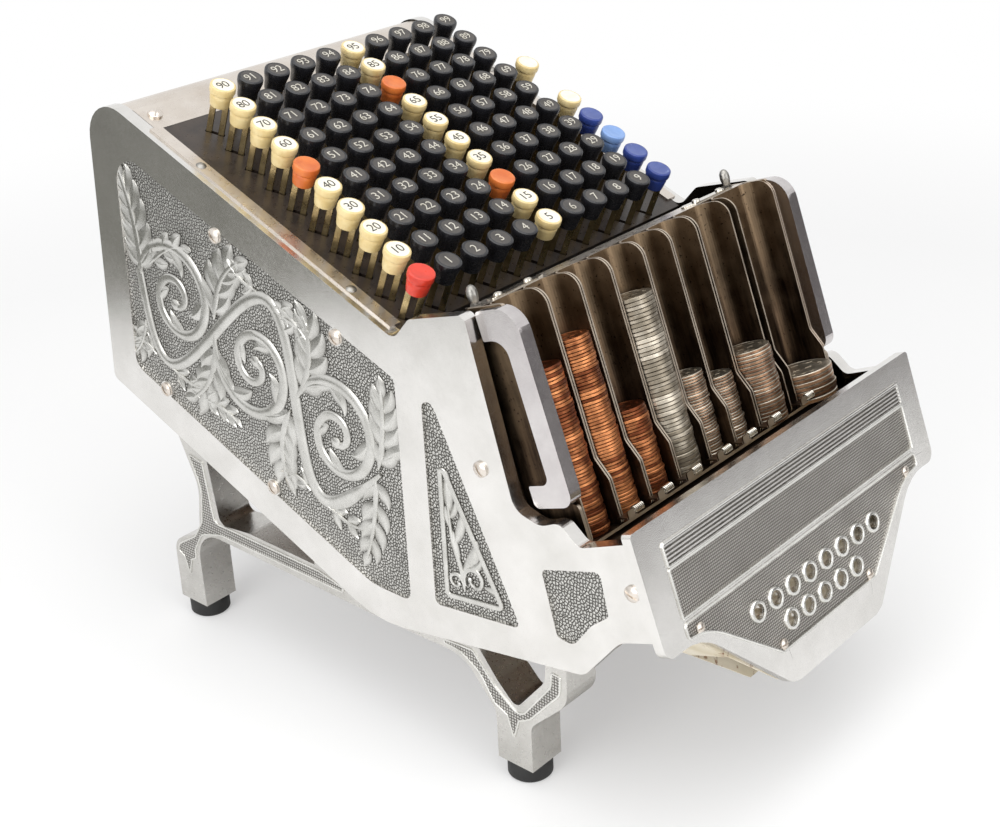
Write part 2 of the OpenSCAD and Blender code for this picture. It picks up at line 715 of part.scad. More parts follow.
module tray_back() {
    y0 = channel_back + channel_t + seat;
    color(tarnish) tray_frame() difference() {
        translate([-tray_half, y0, 0]) cube([2 * tray_half, sheet_t, tray_h - top_bar_t - seat]);
        for (i = [0:channels - 1]) translate([channel_x(i) - finger_w / 2 - finger_clear, y0 - 1, -1])
            cube([finger_w + 2 * finger_clear, 10, finger_notch_z + 1]);
    }
}
module top_bar() {
    color(nickel) tray_frame() difference() {
        translate([-tray_half, channel_back + channel_t + seat, tray_h - top_bar_t])
            cube([2 * tray_half, top_bar_d, top_bar_t]);
        both_sides() translate([-latch_x - latch_w / 2 - run_clear, latch_y - 3, tray_h - 10])
            cube([latch_w + 2 * run_clear, 20, 20]);
        both_sides() rod_x(latch_pin_d, -latch_x - 6, -latch_x + 6, latch_y, tray_h - top_bar_t / 2);
    }
}
module tray_floor() {
    slot_front = finger_rest - slide_stroke - finger_clear;
    color(tarnish) tray_frame() difference() {
        translate([-tray_half, lip_front, floor_top - floor_t])
            cube([2 * tray_half, end_rear - lip_front, floor_t]);
        for (i = [0:channels - 1]) translate([channel_x(i) - finger_w / 2 - finger_clear, slot_front, -10])
            cube([finger_w + 2 * finger_clear, 60, 20]);
    }
}

// Hand grips: a bar in front of each end plate, with a finger gap behind it
grip_outline = rounded([
    corner([grip_rear, tray_h - 0.5], 2),
    corner([grip_front, tray_h - 0.5], 12),
    corner([grip_front, grip_low], 6),
    corner([grip_rear, grip_low], 3),
    corner([grip_rear, gap_low], 1),
    corner([grip_front + grip_bar, gap_low], 4),
    corner([grip_front + grip_bar, gap_high], 8),
    corner([grip_rear, gap_high], 1)]);
module grip() {
    color(cast_grey) tray_frame() union() {
        side_slab(-end_out - grip_t, -end_out) polygon(grip_outline);
        side_slab(-end_out - 1, -end_in) intersection() {
            polygon(grip_outline);
            translate([grip_front - 1, 0]) square([grip_bar + 1, tray_h]);
        }
    }
}
module grip_left() grip();
module grip_right() mirror([1, 0, 0]) grip();

// Thumb latches on pins in the top bar
latch_x = tray_half - 3.2;
latch_w = 3.6;
latch_y = channel_back + channel_t + seat + 7.5;
latch_pin_d = 2;
module latch_knob() {
    rotate_extrude() polygon([[0, 0], [1.5, 0], [2.2, 2], [2.6, 4.4], [2.4, 6.6], [1.6, 8.2], [0.6, 8.8], [0, 8.9]]);
}
module latch() {
    latch_t = 3;
    color(nickel) tray_frame() union() {
        side_slab(-latch_x - latch_w / 2, -latch_x + latch_w / 2) polygon(rounded([
            corner([latch_y - latch_t / 2, tray_h - top_bar_t - 6], 0.8),
            corner([latch_y + latch_t / 2, tray_h - top_bar_t - 6], 0.8),
            corner([latch_y + latch_t / 2, tray_h + 1], 0),
            corner([latch_y - latch_t / 2, tray_h + 1], 0)]));
        translate([-latch_x, latch_y, tray_h + 0.4]) latch_knob();
        rod_x(latch_pin_d - 0.1, -latch_x - latch_w / 2 - 0.8, -latch_x + 5.5, latch_y, tray_h - top_bar_t / 2);
    }
}
module latch_left() latch();
module latch_right() mirror([1, 0, 0]) latch();

// Coins: each stack stands one coin above the floor, over the path of its ejector finger
module coin_stack(i) {
    translate([channel_x(i), coin_y(i), coin_t[i] + run_clear])
        cylinder(d = coin_size(i), h = (coin_count[i] - 1) * coin_t[i]);
}
module stacks(list, tint) {
    color(tint) tray_frame() for (i = list) coin_stack(i);
}
module penny_stacks() stacks(denominations[0], copper);
module nickel_stack() stacks(denominations[1], coin_silver);
module dime_stacks() stacks(denominations[2], coin_silver);
module quarter_stack() stacks(denominations[3], coin_silver);
module half_stack() stacks(denominations[4], coin_silver);

// Ejector slides, their bed and their levers
module slide_bed() {
    color(steel) tray_frame() translate([-inner_x + seat, bed_front, bed_top - bed_t])
        cube([2 * (inner_x - seat), bed_rear - bed_front, bed_t]);
}
function finger_top(i) = min(coin_t[i] - 0.2, 1.5);
module ejector(i) {
    ear_t = 2.4;
    ear_x = lever_t / 2 + run_clear + 0.3;
    tail = pin_rest_y + 6;
    color(steel) tray_frame() translate([channel_x(i), 0, 0]) union() {
        translate([-slide_w / 2, finger_rest - 9, slide_bottom])
            cube([slide_w, tail - finger_rest + 9, slide_t]);
        translate([-finger_w / 2, finger_rest, slide_top - 0.2])
            cube([finger_w, finger_depth, finger_top(i) - slide_top + 0.2]);
        side_slab(ear_x, ear_x + ear_t) polygon(rounded([
            corner([pin_rest_y - 6, slide_bottom], 0),
            corner([pin_rest_y + 6, slide_bottom], 0),
            corner([pin_rest_y + 4, pin_z + 4], 3),
            corner([pin_rest_y - 4, pin_z + 4], 3)]));
        rod_x(pin_d, -lever_t / 2 - 1, ear_x + ear_t, pin_rest_y, pin_z);
    }
}
module lever_shaft() {
    color(steel) tray_frame() rod_x(shaft_d, -inner_x, inner_x, shaft_y, shaft_z);
}
module lever(i) {
    hub_d = shaft_d + 6;
    arm_w = 11;
    arm_end = lever_drop + 4;
    fork_w = pin_d + 0.8;
    rear_len = 26;
    color(tarnish) tray_frame() translate([channel_x(i), shaft_y, shaft_z]) rotate([lever_half_swing, 0, 0]) difference() {
        union() {
            rod_x(hub_d, -lever_t / 2 - 1.5, lever_t / 2 + 1.5, 0, 0);
            translate([-lever_t / 2, -arm_w / 2, -arm_end]) cube([lever_t, arm_w, arm_end]);
            rotate([20, 0, 0]) translate([-lever_t / 2, 0, -4]) cube([lever_t, rear_len, 8]);
        }
        rod_x(shaft_d + 0.1, -10, 10, 0, 0);
        translate([-lever_t, -fork_w / 2, -arm_end - 1]) cube([2 * lever_t, fork_w, 9]);
        rotate([20, 0, 0]) rod_x(3, -10, 10, rear_len - 4, 0);
    }
}

side_plate_left();
side_plate_right();
stand_left();
stand_right();
rubber_feet();
rear_cover();
rear_strip();
key_plate();
guide_plate();
rail_left();
rail_right();
tie_rods();
base_pan();
front_plate();
hopper();
screws();
rail_rivets();
end_plate_left();
end_plate_right();
tray_back();
top_bar();
tray_floor();
coin_channels();
grip_left();
grip_right();
latch_left();
latch_right();
penny_stacks();
nickel_stack();
dime_stacks();
quarter_stack();
half_stack();
slide_bed();
lever_shaft();
for (i = [0:channels - 1]) ejector(i);
for (i = [0:channels - 1]) lever(i);
for (r = [1:key_rows]) key_row(r);
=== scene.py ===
"""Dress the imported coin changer: finishes, cast ornament, keys, coins and a pale studio."""

import json
import logging
import math
import random
from collections.abc import Sequence
from dataclasses import dataclass, field
from enum import Enum
from functools import cache

import bmesh
import bpy
from bmesh.types import BMFace, BMVert
from bpy.types import Material, Node, NodeSocket, NodeTree, Object, Scene
from mathutils import Matrix, Vector
from mathutils.geometry import tessellate_polygon

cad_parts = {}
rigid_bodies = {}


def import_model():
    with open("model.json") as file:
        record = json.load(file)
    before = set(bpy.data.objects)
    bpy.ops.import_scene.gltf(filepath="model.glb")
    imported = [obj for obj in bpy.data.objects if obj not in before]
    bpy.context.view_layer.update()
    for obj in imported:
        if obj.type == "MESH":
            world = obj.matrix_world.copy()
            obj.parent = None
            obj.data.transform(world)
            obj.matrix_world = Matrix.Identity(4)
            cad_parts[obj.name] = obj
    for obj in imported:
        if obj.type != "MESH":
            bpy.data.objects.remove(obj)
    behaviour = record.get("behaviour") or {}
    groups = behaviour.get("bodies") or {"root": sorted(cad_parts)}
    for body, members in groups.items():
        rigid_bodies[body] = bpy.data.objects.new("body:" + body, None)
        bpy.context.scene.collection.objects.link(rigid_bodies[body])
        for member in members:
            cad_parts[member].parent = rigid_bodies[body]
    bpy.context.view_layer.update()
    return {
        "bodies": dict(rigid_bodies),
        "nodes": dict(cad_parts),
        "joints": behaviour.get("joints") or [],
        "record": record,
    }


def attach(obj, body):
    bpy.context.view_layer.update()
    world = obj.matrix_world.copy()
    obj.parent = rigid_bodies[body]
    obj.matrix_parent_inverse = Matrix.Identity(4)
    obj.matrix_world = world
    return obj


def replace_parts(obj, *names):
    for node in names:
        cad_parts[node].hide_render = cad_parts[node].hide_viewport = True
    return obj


LOG = logging.getLogger("coin_changer")
MM = 0.001
SIDES = (-1, 1)
Point = tuple[float, float]
Triple = tuple[float, float, float]
CadNodes = dict[str, Object]


# Working frames, in millimetres of the machine


@dataclass(frozen=True)
class Machine:
    """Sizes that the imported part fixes, repeated here in millimetres."""

    y_mid: float = -39.957
    half_w: float = 111.5
    panel_depth: float = 1.6
    key_field_z: float = 272.9
    key_slope: float = 22.6
    key_rise: float = 27.8
    tray_y: float = -160.5
    tray_z: float = 138.5
    tray_lean: float = 19.5
    front_face: float = -42.4
    front_top: float = 10.0
    front_relief: float = 0.8
    stand_step: float = 2.0

    def keys(self) -> Matrix:
        """Return the key frame: x along a row, y up the slope, z off the key tops."""
        return self._slope(0.0, self.key_field_z, self.key_slope)

    def tray(self) -> Matrix:
        """Return the tray frame: y back, z along the coin columns."""
        return self._slope(self.tray_y, self.tray_z, -self.tray_lean)

    def side(self, sign: int, depth: float) -> Matrix:
        """Return a side panel's frame: u back, v up and w outwards.

        Args:
            sign: -1 for the left side plate and 1 for the right.
            depth: How far the zero of w lies inside the outer face.

        Returns:
            The matrix from panel millimetres to row metres.
        """
        flat = sign * (self.half_w - depth)
        turn = Matrix(((0, 0, sign, flat), (1, 0, 0, -self.y_mid), (0, 1, 0, 0), (0, 0, 0, 1)))
        return Matrix.Scale(MM, 4) @ turn

    def front(self, depth: float) -> Matrix:
        """Return the front plate's frame, u across, v up the plate and w towards the viewer."""
        turn = Matrix(((1, 0, 0, 0), (0, 0, -1, self.front_face + depth), (0, 1, 0, 0), (0, 0, 0, 1)))
        return self.tray() @ turn

    def _slope(self, y: float, z: float, angle: float) -> Matrix:
        """Return a frame that stands at y and z and is turned about the X axis."""
        place = Matrix.Translation(Vector((0.0, (y - self.y_mid) * MM, z * MM)))
        return place @ Matrix.Rotation(math.radians(angle), 4, "X") @ Matrix.Scale(MM, 4)


MACHINE = Machine()
LEAN = math.radians(MACHINE.tray_lean)
SLOPE = math.radians(MACHINE.key_slope)


# Finishes

MATH = "ShaderNodeMath"
MIX = "ShaderNodeMix"
NOISE = "ShaderNodeTexNoise"
PLACED = "ShaderNodeMapping"
PRINCIPLED = "ShaderNodeBsdfPrincipled"
RANGE = "ShaderNodeMapRange"
SPLIT = "ShaderNodeSeparateXYZ"
VECTOR = "ShaderNodeVectorMath"
METAL = {"Metallic": 1.0}
# Values that noise mostly takes, and the whole span of a mask
NOISE_SPAN = (0.3, 0.7)
WHOLE = (0.0, 1.0)


def linear(code: str) -> tuple[float, float, float, float]:
    """Turn an sRGB hex colour into linear RGBA."""
    parts = [int(code[i : i + 2], 16) / 255 for i in (1, 3, 5)]
    return (*(p / 12.92 if p <= 0.04045 else ((p + 0.055) / 1.055) ** 2.4 for p in parts), 1.0)


def per_metre(size_mm: float) -> float:
    """Return the texture scale at which one cell measures size_mm."""
    return 1.0 / (size_mm * MM)


def add_node(tree: NodeTree, kind: str, inputs: dict[str | int, object] | None = None,
             **settings: object) -> Node:
    """Add a node with its settings, values and links.

    Args:
        tree: The node tree.
        kind: The node's type name.
        inputs: Values to set or outputs to link, by the input's name or number. A node stands for
            its first output in use.
        **settings: Properties of the node.

    Returns:
        The new node.
    """
    node = tree.nodes.new(kind)
    for key, value in settings.items():
        setattr(node, key, value)
    for key, value in (inputs or {}).items():
        if isinstance(value, Node):
            value = next(socket for socket in value.outputs if socket.enabled)
        if isinstance(value, NodeSocket):
            tree.links.new(value, node.inputs[key])
        else:
            node.inputs[key].default_value = value
    return node


@dataclass(frozen=True)
class Layer:
    """One colour of a finish, laid where a value runs from the start to the end of a span."""

    value: Node
    span: Point
    colour: str
    most: float = 1.0


@dataclass(frozen=True)
class Finish:
    """A surface named for the real material, with the wiring that all kinds of finish share."""

    name: str

    def build(self) -> Material:
        """Return the finish as a node material.

        Returns:
            The new material.
        """
        made = bpy.data.materials.new(self.name)
        made.use_nodes = True
        tree = made.node_tree
        tree.nodes.clear()
        shader = self.wire(tree, add_node(tree, "ShaderNodeTexCoord").outputs["Object"])
        add_node(tree, "ShaderNodeOutputMaterial", {"Surface": shader})
        return made

    def wire(self, tree: NodeTree, where: NodeSocket) -> Node:
        """Return the shader of one kind of finish, wired in a tree to the object's coordinates."""
        raise NotImplementedError

    def compose(self, tree: NodeTree, ground: str, layers: Sequence[Layer],
                gloss: float | tuple[Node, Point, Point], relief: tuple[Node, float, float],
                fixed: dict[str, float]) -> Node:
        """Lay the colours over each other, spread the roughness and raise the grain.

        Args:
            tree: The material's node tree.
            ground: Hex colour below the layers.
            layers: The colours in the order in which they are laid.
            gloss: The roughness, or a value, the span that it runs through and the roughness at its ends.
            relief: A height, the strength of its bump, and its depth in millimetres.
            fixed: Plain inputs of the shader.

        Returns:
            The principled shader.
        """
        colour: object = linear(ground)
        for layer in layers:
            share = add_node(tree, RANGE, {"Value": layer.value, "From Min": layer.span[0],
                                           "From Max": layer.span[1], "To Max": layer.most})
            colour = add_node(tree, MIX, {"Factor": share, "A": colour, "B": linear(layer.colour)},
                              data_type="RGBA")
        rough: object = gloss
        if isinstance(gloss, tuple):
            value, span, ends = gloss
            rough = add_node(tree, RANGE, {"Value": value, "From Min": span[0], "From Max": span[1],
                                           "To Min": ends[0], "To Max": ends[1]})
        height, strength, depth = relief
        bump = add_node(tree, "ShaderNodeBump",
                        {"Height": height, "Strength": strength, "Distance": depth * MM})
        return add_node(tree, PRINCIPLED,
                        {"Base Color": colour, "Roughness": rough, "Normal": bump, **fixed})


@cache
def material(finish: Finish) -> Material:
    """Return a finish's material, made on first use."""
    return finish.build()


@dataclass(frozen=True)
class WornMetal(Finish):
    """A metal with cloudy tone, fine grain, stains and painted shade, all sized in millimetres."""

    clean: str
    dull: str
    stain: str
    rough: Point = (0.28, 0.42)
    cloud_mm: float = 16.0
    # Real grain is too fine to show in the render, so it is drawn this coarse
    grain_mm: float = 0.7
    grain_bump: float = 0.06
    grain_depth: float = 0.6
    stain_mm: float = 5.0
    stain_from: float = 0.62
    stain_edge: float = 0.1
    gloss_span: Point = (0.3, 0.75)
    toned: bool = False
    # Colour of the painted shade along the foot of relief and on faces turned to the inside
    painted_shade: str = "#4C4944"
    # Painted shade near the foot of relief: full at the first |x| and none at the second, in millimetres
    foot_shade: Point | None = None
    # Whether faces turned to the inside take painted shade
    inward_shade: bool = False
    inward_shade_span: Point = (-0.02, -0.06)

    def wire(self, tree: NodeTree, where: NodeSocket) -> Node:
        """Lay clean metal over dull in clouds, then stains, then painted shade.

        Args:
            tree: The material's node tree.
            where: The object's coordinates.

        Returns:
            The shader.
        """
        grains = ((self.cloud_mm, 6.0, 0.62), (self.stain_mm, 8.0, 0.7), (self.grain_mm, 3.0, 0.5))
        cloud, spots, grain = (
            add_node(tree, NOISE, {"Vector": where, "Scale": per_metre(size), "Detail": detail,
                                   "Roughness": rough})
            for size, detail, rough in grains)
        tone = cloud
        if self.toned:
            own = add_node(tree, "ShaderNodeAttribute", attribute_name="tone").outputs["Fac"]
            both = add_node(tree, MATH, {0: own, 1: cloud}, operation="ADD")
            tone = add_node(tree, MATH, {0: both, 1: 0.5}, operation="SUBTRACT")
        layers = [Layer(tone, NOISE_SPAN, self.clean),
                  Layer(spots, (self.stain_from, self.stain_from + self.stain_edge), self.stain),
                  *self._painted_shade_layers(tree, where)]
        return self.compose(tree, self.dull, layers, (spots, self.gloss_span, self.rough),
                            (grain, self.grain_bump, self.grain_depth), METAL)

    def _painted_shade_layers(self, tree: NodeTree, where: NodeSocket) -> list[Layer]:
        """Lay painted shade along the foot of relief and on faces turned to the inside.

        Args:
            tree: The material's node tree.
            where: The object's coordinates.

        Returns:
            The layers of painted shade that the finish has.
        """
        layers = []
        across = add_node(tree, SPLIT, {0: where}).outputs["X"]
        # Painted shade near the foot of the relief
        if self.foot_shade:
            reach = add_node(tree, MATH, {0: across}, operation="ABSOLUTE")
            layers.append(Layer(reach, (self.foot_shade[1] * MM, self.foot_shade[0] * MM), self.painted_shade))
        # Painted shade on faces turned to the inside
        if self.inward_shade:
            facing = add_node(tree, "ShaderNodeNewGeometry").outputs["Normal"]
            turned = add_node(tree, SPLIT, {0: facing}).outputs["X"]
            towards = add_node(tree, MATH, {0: turned, 1: across}, operation="MULTIPLY")
            layers.append(Layer(towards, self.inward_shade_span, self.painted_shade))
        return layers


@dataclass(frozen=True)
class TarnishedSheet(Finish):
    """Bent sheet of the tray: brown, streaked along the columns, pale at the top, with a painted highlight on
    its front and top edges.
    """

    pale: str
    brown: str
    black: str
    # Colour of the painted highlight on the front and top edges
    edge: str
    streak_mm: float = 4.0
    streak_draw: float = 0.12
    streak_span: Point = (0.36, 0.64)
    cloud_mm: float = 11.0
    pit_mm: float = 1.6
    pit_span: Point = (0.62, 0.7)
    pale_span: Point = (0.72, 1.32)
    pale_most: float = 0.75
    pale_sway: float = 0.06
    rough: Point = (0.36, 0.52)
    grain_bump: float = 0.06
    grain_depth: float = 0.5
    front_edge: Point = (4.0, 3.5)
    top_edge: Point = (102.0, 103.0)
    edge_span: Point = (0.45, 0.75)
    wall_h: float = 110.0

    def wire(self, tree: NodeTree, where: NodeSocket) -> Node:
        """Lay brown streaks over black, then the pale top, pits and the painted edge highlight.

        Args:
            tree: The material's node tree.
            where: The object's coordinates.

        Returns:
            The shader.
        """
        shift = MACHINE.tray().inverted().translation * MM
        at = add_node(tree, PLACED, {"Vector": where, "Location": shift, "Rotation": (LEAN, 0, 0)})
        drawn = add_node(tree, PLACED, {"Vector": at, "Scale": (1.0, 1.0, self.streak_draw)})
        grains = ((drawn, self.streak_mm, 5.0, 0.6), (at, self.cloud_mm, 5.0, 0.5),
                  (at, self.pit_mm, 6.0, 0.5))
        streak, cloud, pits = (
            add_node(tree, NOISE, {"Vector": place, "Scale": per_metre(size), "Detail": detail,
                                   "Roughness": rough})
            for place, size, detail, rough in grains)
        axes = add_node(tree, SPLIT, {0: at})
        sway = add_node(tree, MATH, {0: cloud, 1: self.pale_sway}, operation="MULTIPLY")
        height = add_node(tree, MATH, {0: axes.outputs["Z"], 1: sway}, operation="ADD")
        wall = self.wall_h * MM
        top = (wall * self.pale_span[0], wall * self.pale_span[1])
        layers = [Layer(streak, self.streak_span, self.brown),
                  Layer(height, top, self.pale, self.pale_most),
                  Layer(pits, self.pit_span, self.black),
                  # Painted highlight where the walls' front and top edges face the front or the top
                  Layer(self._edge_highlight(tree, axes), WHOLE, self.edge)]
        return self.compose(tree, self.black, layers, (cloud, NOISE_SPAN, self.rough),
                            (pits, self.grain_bump, self.grain_depth), METAL)

    def _edge_highlight(self, tree: NodeTree, axes: Node) -> Node:
        """Mask the painted highlight on the front and top edges of the walls.

        Args:
            tree: The material's node tree.
            axes: The tray's coordinates, split.

        Returns:
            The mask.
        """
        facing = add_node(tree, "ShaderNodeNewGeometry").outputs["Normal"]
        front = ((0.0, -math.cos(LEAN), math.sin(LEAN)), "Y", *self.front_edge)
        top = ((0.0, math.sin(LEAN), math.cos(LEAN)), "Z", *self.top_edge)
        sides = {}
        for i, (axis, letter, start, end) in enumerate((front, top)):
            turned = add_node(tree, VECTOR, {0: facing, 1: axis}, operation="DOT_PRODUCT")
            lit, near = (add_node(tree, RANGE, {"Value": value, "From Min": low, "From Max": high})
                         for value, low, high in ((turned, *self.edge_span),
                                                  (axes.outputs[letter], start * MM, end * MM)))
            sides[i] = add_node(tree, MATH, {0: lit, 1: near}, operation="MULTIPLY")
        return add_node(tree, MATH, sides, operation="MAXIMUM")


class Ground(Enum):
    """Ways in which the sunk grounds of the casting are punched, each with the disorder of its dots."""

    PEBBLED = 0.8
    DOTTED = 0.12


@dataclass(frozen=True)
class PunchedGround(Finish):
    """Sunk ground of the casting: bright punched dots with grey patina between them."""

    pattern: Ground
    pitch_mm: float
    high: str
    low: str
    across: Triple = (0.0, 1.0, 0.0)
    upward: Triple = (0.0, 0.0, 1.0)
    dome_span: Point = (0.02, 0.3)
    cloud_mm: float = 14.0
    wear_least: float = 0.75
    rough: float = 0.34
    dome_bump: float = 0.8
    dome_depth: float = 0.35

    def wire(self, tree: NodeTree, where: NodeSocket) -> Node:
        """Lay bright domes on a dark ground.

        Args:
            tree: The material's node tree.
            where: The object's coordinates.

        Returns:
            The shader.
        """
        flat = {i: add_node(tree, VECTOR, {0: where, 1: axis}, operation="DOT_PRODUCT")
                for i, axis in enumerate((self.across, self.upward))}
        at = add_node(tree, "ShaderNodeCombineXYZ", flat)
        cells = add_node(tree, "ShaderNodeTexVoronoi",
                         {"Vector": at, "Scale": per_metre(self.pitch_mm), "Randomness": self.pattern.value},
                         voronoi_dimensions="2D", feature="DISTANCE_TO_EDGE")
        start, end = self.dome_span
        dome = add_node(tree, RANGE, {"Value": cells, "From Min": start, "From Max": end},
                        interpolation_type="SMOOTHSTEP")
        cloud = add_node(tree, NOISE, {"Vector": at, "Scale": per_metre(self.cloud_mm), "Detail": 4.0})
        wear = add_node(tree, RANGE, {"Value": cloud, "From Min": NOISE_SPAN[0], "From Max": NOISE_SPAN[1],
                                      "To Min": self.wear_least})
        amount = add_node(tree, MATH, {0: dome, 1: wear}, operation="MULTIPLY")
        return self.compose(tree, self.low, [Layer(amount, WHOLE, self.high)], self.rough,
                            (dome, self.dome_bump, self.dome_depth), METAL)


@dataclass(frozen=True)
class Coated(Finish):
    """A moulded, painted or rubber surface with a little tone, dust and chipping."""

    colour: str
    shade: str
    worn: str
    rough: float = 0.35
    rough_play: Point = (-0.06, 0.12)
    cloud_mm: float = 6.0
    cloud_span: Point = (0.35, 0.7)
    worn_mm: float = 3.0
    worn_from: float = 0.8
    worn_edge: float = 0.06
    gloss_span: Point = (0.3, 0.8)
    bump: float = 0.05
    bump_mm: float = 1.2
    bump_depth: float = 0.5
    ior: float = 1.5

    def wire(self, tree: NodeTree, where: NodeSocket) -> Node:
        """Lay shade over the colour in clouds, then the worn spots.

        Args:
            tree: The material's node tree.
            where: The object's coordinates.

        Returns:
            The shader.
        """
        grains = ((self.cloud_mm, 5.0, 0.5), (self.worn_mm, 9.0, 0.68), (self.bump_mm, 3.0, 0.5))
        cloud, spots, grain = (
            add_node(tree, NOISE, {"Vector": where, "Scale": per_metre(size), "Detail": detail,
                                   "Roughness": rough})
            for size, detail, rough in grains)
        layers = [Layer(cloud, self.cloud_span, self.shade),
                  Layer(spots, (self.worn_from, self.worn_from + self.worn_edge), self.worn)]
        ends = (self.rough + self.rough_play[0], self.rough + self.rough_play[1])
        return self.compose(tree, self.colour, layers, (spots, self.gloss_span, ends),
                            (grain, self.bump, self.bump_depth), {"IOR": self.ior})


# Cast aluminium, filed and buffed: mirrors its surroundings softly, with small dark casting pits and painted
# shade on faces turned to the inside
CAST = WornMetal("cast_aluminium", "#E9E7E4", "#D8D6D2", "#8E8B86", rough=(0.15, 0.27), cloud_mm=30.0,
                 stain_mm=1.6, stain_from=0.71, grain_mm=0.5, grain_bump=0.05, inward_shade=True)
# The same casting left rougher on the stands
STAND = WornMetal("rough_cast_aluminium", "#D3D1CD", "#BDBBB6", "#807D78", rough=(0.24, 0.36), cloud_mm=24.0,
                  stain_mm=1.8, stain_from=0.7, grain_mm=0.6)
# The same casting where hands have dulled it
GRIP = WornMetal("hand_dulled_cast_aluminium", "#D6D2D1", "#C0BBBB", "#8C8686", rough=(0.16, 0.26),
                 cloud_mm=20.0, stain_mm=1.6, stain_from=0.72, grain_mm=0.5, grain_bump=0.05)
# The same casting where raised borders are rubbed bright
RELIEF = WornMetal("rubbed_cast_relief", "#E4E3DF", "#CFCEC9", "#8C8A84", rough=(0.2, 0.32), cloud_mm=12.0,
                   stain_mm=1.4, stain_from=0.74)
# The same relief with painted shade along the foot of each leaf
FOLIAGE = WornMetal("shade_edged_cast_foliage", "#D9D8D4", "#BFBEB9", "#807E78", rough=(0.22, 0.34),
                    cloud_mm=12.0, stain_mm=1.4, stain_from=0.74, painted_shade="#55524C", foot_shade=(110.2, 110.85))
# Dark patina in the deepest grooves of the casting
PATINA = WornMetal("grooved_cast_patina", "#7E7B76", "#5C5A55", "#3E3C39", rough=(0.36, 0.5), cloud_mm=6.0)
# Pebble-punched ground of the side panels, dark in the hollows
PEBBLED = PunchedGround("pebbled_cast_ground", Ground.PEBBLED, 1.7, "#CFCECA", "#4A4843")
# Dot-punched ground of the front plate, in rows turned to the plate
DOTTED = PunchedGround("dotted_cast_ground", Ground.DOTTED, 1.3, "#C8C4BF", "#54504A", across=(1.0, 0.0, 0.0),
                       upward=tuple(MACHINE.front(0.0).to_3x3().col[1].normalized()))
# Dot punching along the stands, brighter on its dots
STAND_DOTS = PunchedGround("stand_cast_ground", Ground.DOTTED, 1.6, "#D8D6D2", "#5A5751")
# Nickel plate gone warm, with brown spots where it has worn through
NICKEL = WornMetal("worn_nickel_plate", "#E0D9D1", "#CEC4B9", "#8A7058", rough=(0.24, 0.36), cloud_mm=26.0,
                   stain_mm=4.0, stain_from=0.7)
# Bright steel of springs and small screws
BRIGHT = WornMetal("bright_spring_steel", "#E3DFD6", "#BDB7AB", "#7B6A55", rough=(0.16, 0.28), cloud_mm=5.0,
                   stain_mm=2.0, stain_from=0.7)
# Tarnished nickel-silver sheet of the tray: brown, with pale upper parts and a painted highlight on its front
# and top edges
TRAY_SHEET = TarnishedSheet("tarnished_nickel_sheet", "#8A765E", "#5C4B3B", "#2B211A", "#BBAE9E")
# Steel sheet deep in the machine, evenly brown
BROWN_SHEET = WornMetal("browned_steel_sheet", "#7C6856", "#504034", "#2E241C", rough=(0.42, 0.58),
                        cloud_mm=18.0, stain_mm=6.0)
# Plain mild steel of the works, grey under old oil
STEEL = WornMetal("oiled_mild_steel", "#A3A19C", "#77746F", "#4D4036", rough=(0.3, 0.5))
# Brassy plate on the key stems
STEM = WornMetal("plated_key_stem", "#B9A77F", "#8A7750", "#4A3D28", rough=(0.22, 0.4), cloud_mm=8.0)
# Copper and bronze coin edges, from bright to nearly black
COPPER = WornMetal("circulated_bronze_coin", "#D08A5A", "#713F28", "#4A2C1E", rough=(0.32, 0.46),
                   cloud_mm=7.0, stain_mm=1.5, stain_from=0.66, toned=True)
# Cupronickel coin metal, grey with a warm cast
SILVER = WornMetal("circulated_cupronickel_coin", "#CFC6B6", "#8C8374", "#57514A", rough=(0.32, 0.48),
                   cloud_mm=7.0, stain_mm=1.5, stain_from=0.7, toned=True)
# Copper core that shows along the edge of a clad coin
CORE = WornMetal("clad_coin_core", "#B08A6C", "#785844", "#4A3528", rough=(0.3, 0.46), cloud_mm=3.0,
                 toned=True)
# Painted shade in the groove between two coins, on the lower bevel of each
GROOVE_SHADE = WornMetal("coin_groove_painted_shade", "#55402F", "#35271D", "#211812", rough=(0.42, 0.56), cloud_mm=4.0)
# Dark japanned key plate, rubbed through to brown metal
JAPAN = Coated("worn_japanned_plate", "#2B2420", "#3D332B", "#6E5A46", rough=0.3, cloud_mm=9.0, worn_mm=2.6,
               worn_from=0.66, bump=0.12)
# Cream stove paint with rust breaking through
CREAM = Coated("chipped_cream_paint", "#E2D9C6", "#D0C4A8", "#7E5026", rough=0.42, cloud_mm=14.0, worn_mm=9.0,
               worn_from=0.58, bump=0.15, bump_mm=2.0)
# Moulded rubber, matt
RUBBER = Coated("moulded_black_rubber", "#151515", "#1F1F1E", "#2C2B2A", rough=0.55, bump=0.2)
# Moulded phenolic, slightly polished at the sides, with a painted grey sheen on top
BLACK_CAP = Coated("black_phenolic_cap", "#17171A", "#222226", "#3C3C41", rough=0.28, worn_mm=1.4,
                   worn_from=0.74)
BLACK_SHEEN_TOP = Coated("phenolic_top_painted_sheen", "#4A4643", "#3A3734", "#5F5A55", rough=0.42, worn_mm=1.0,
                   worn_from=0.7)
# Turned casein, painted darker and yellower at the sides as shade and paler on top as light
IVORY_SHADED_SIDE = Coated("casein_side_painted_shade", "#E4D09C", "#D4BA7E", "#A98A52", rough=0.32, cloud_mm=5.0,
                   worn_mm=2.0, worn_from=0.7)
IVORY_LIT_TOP = Coated("casein_top_painted_light", "#F2EEE2", "#E8E1CD", "#C9B68C", rough=0.34, cloud_mm=5.0, worn_mm=1.6,
                   worn_from=0.74)
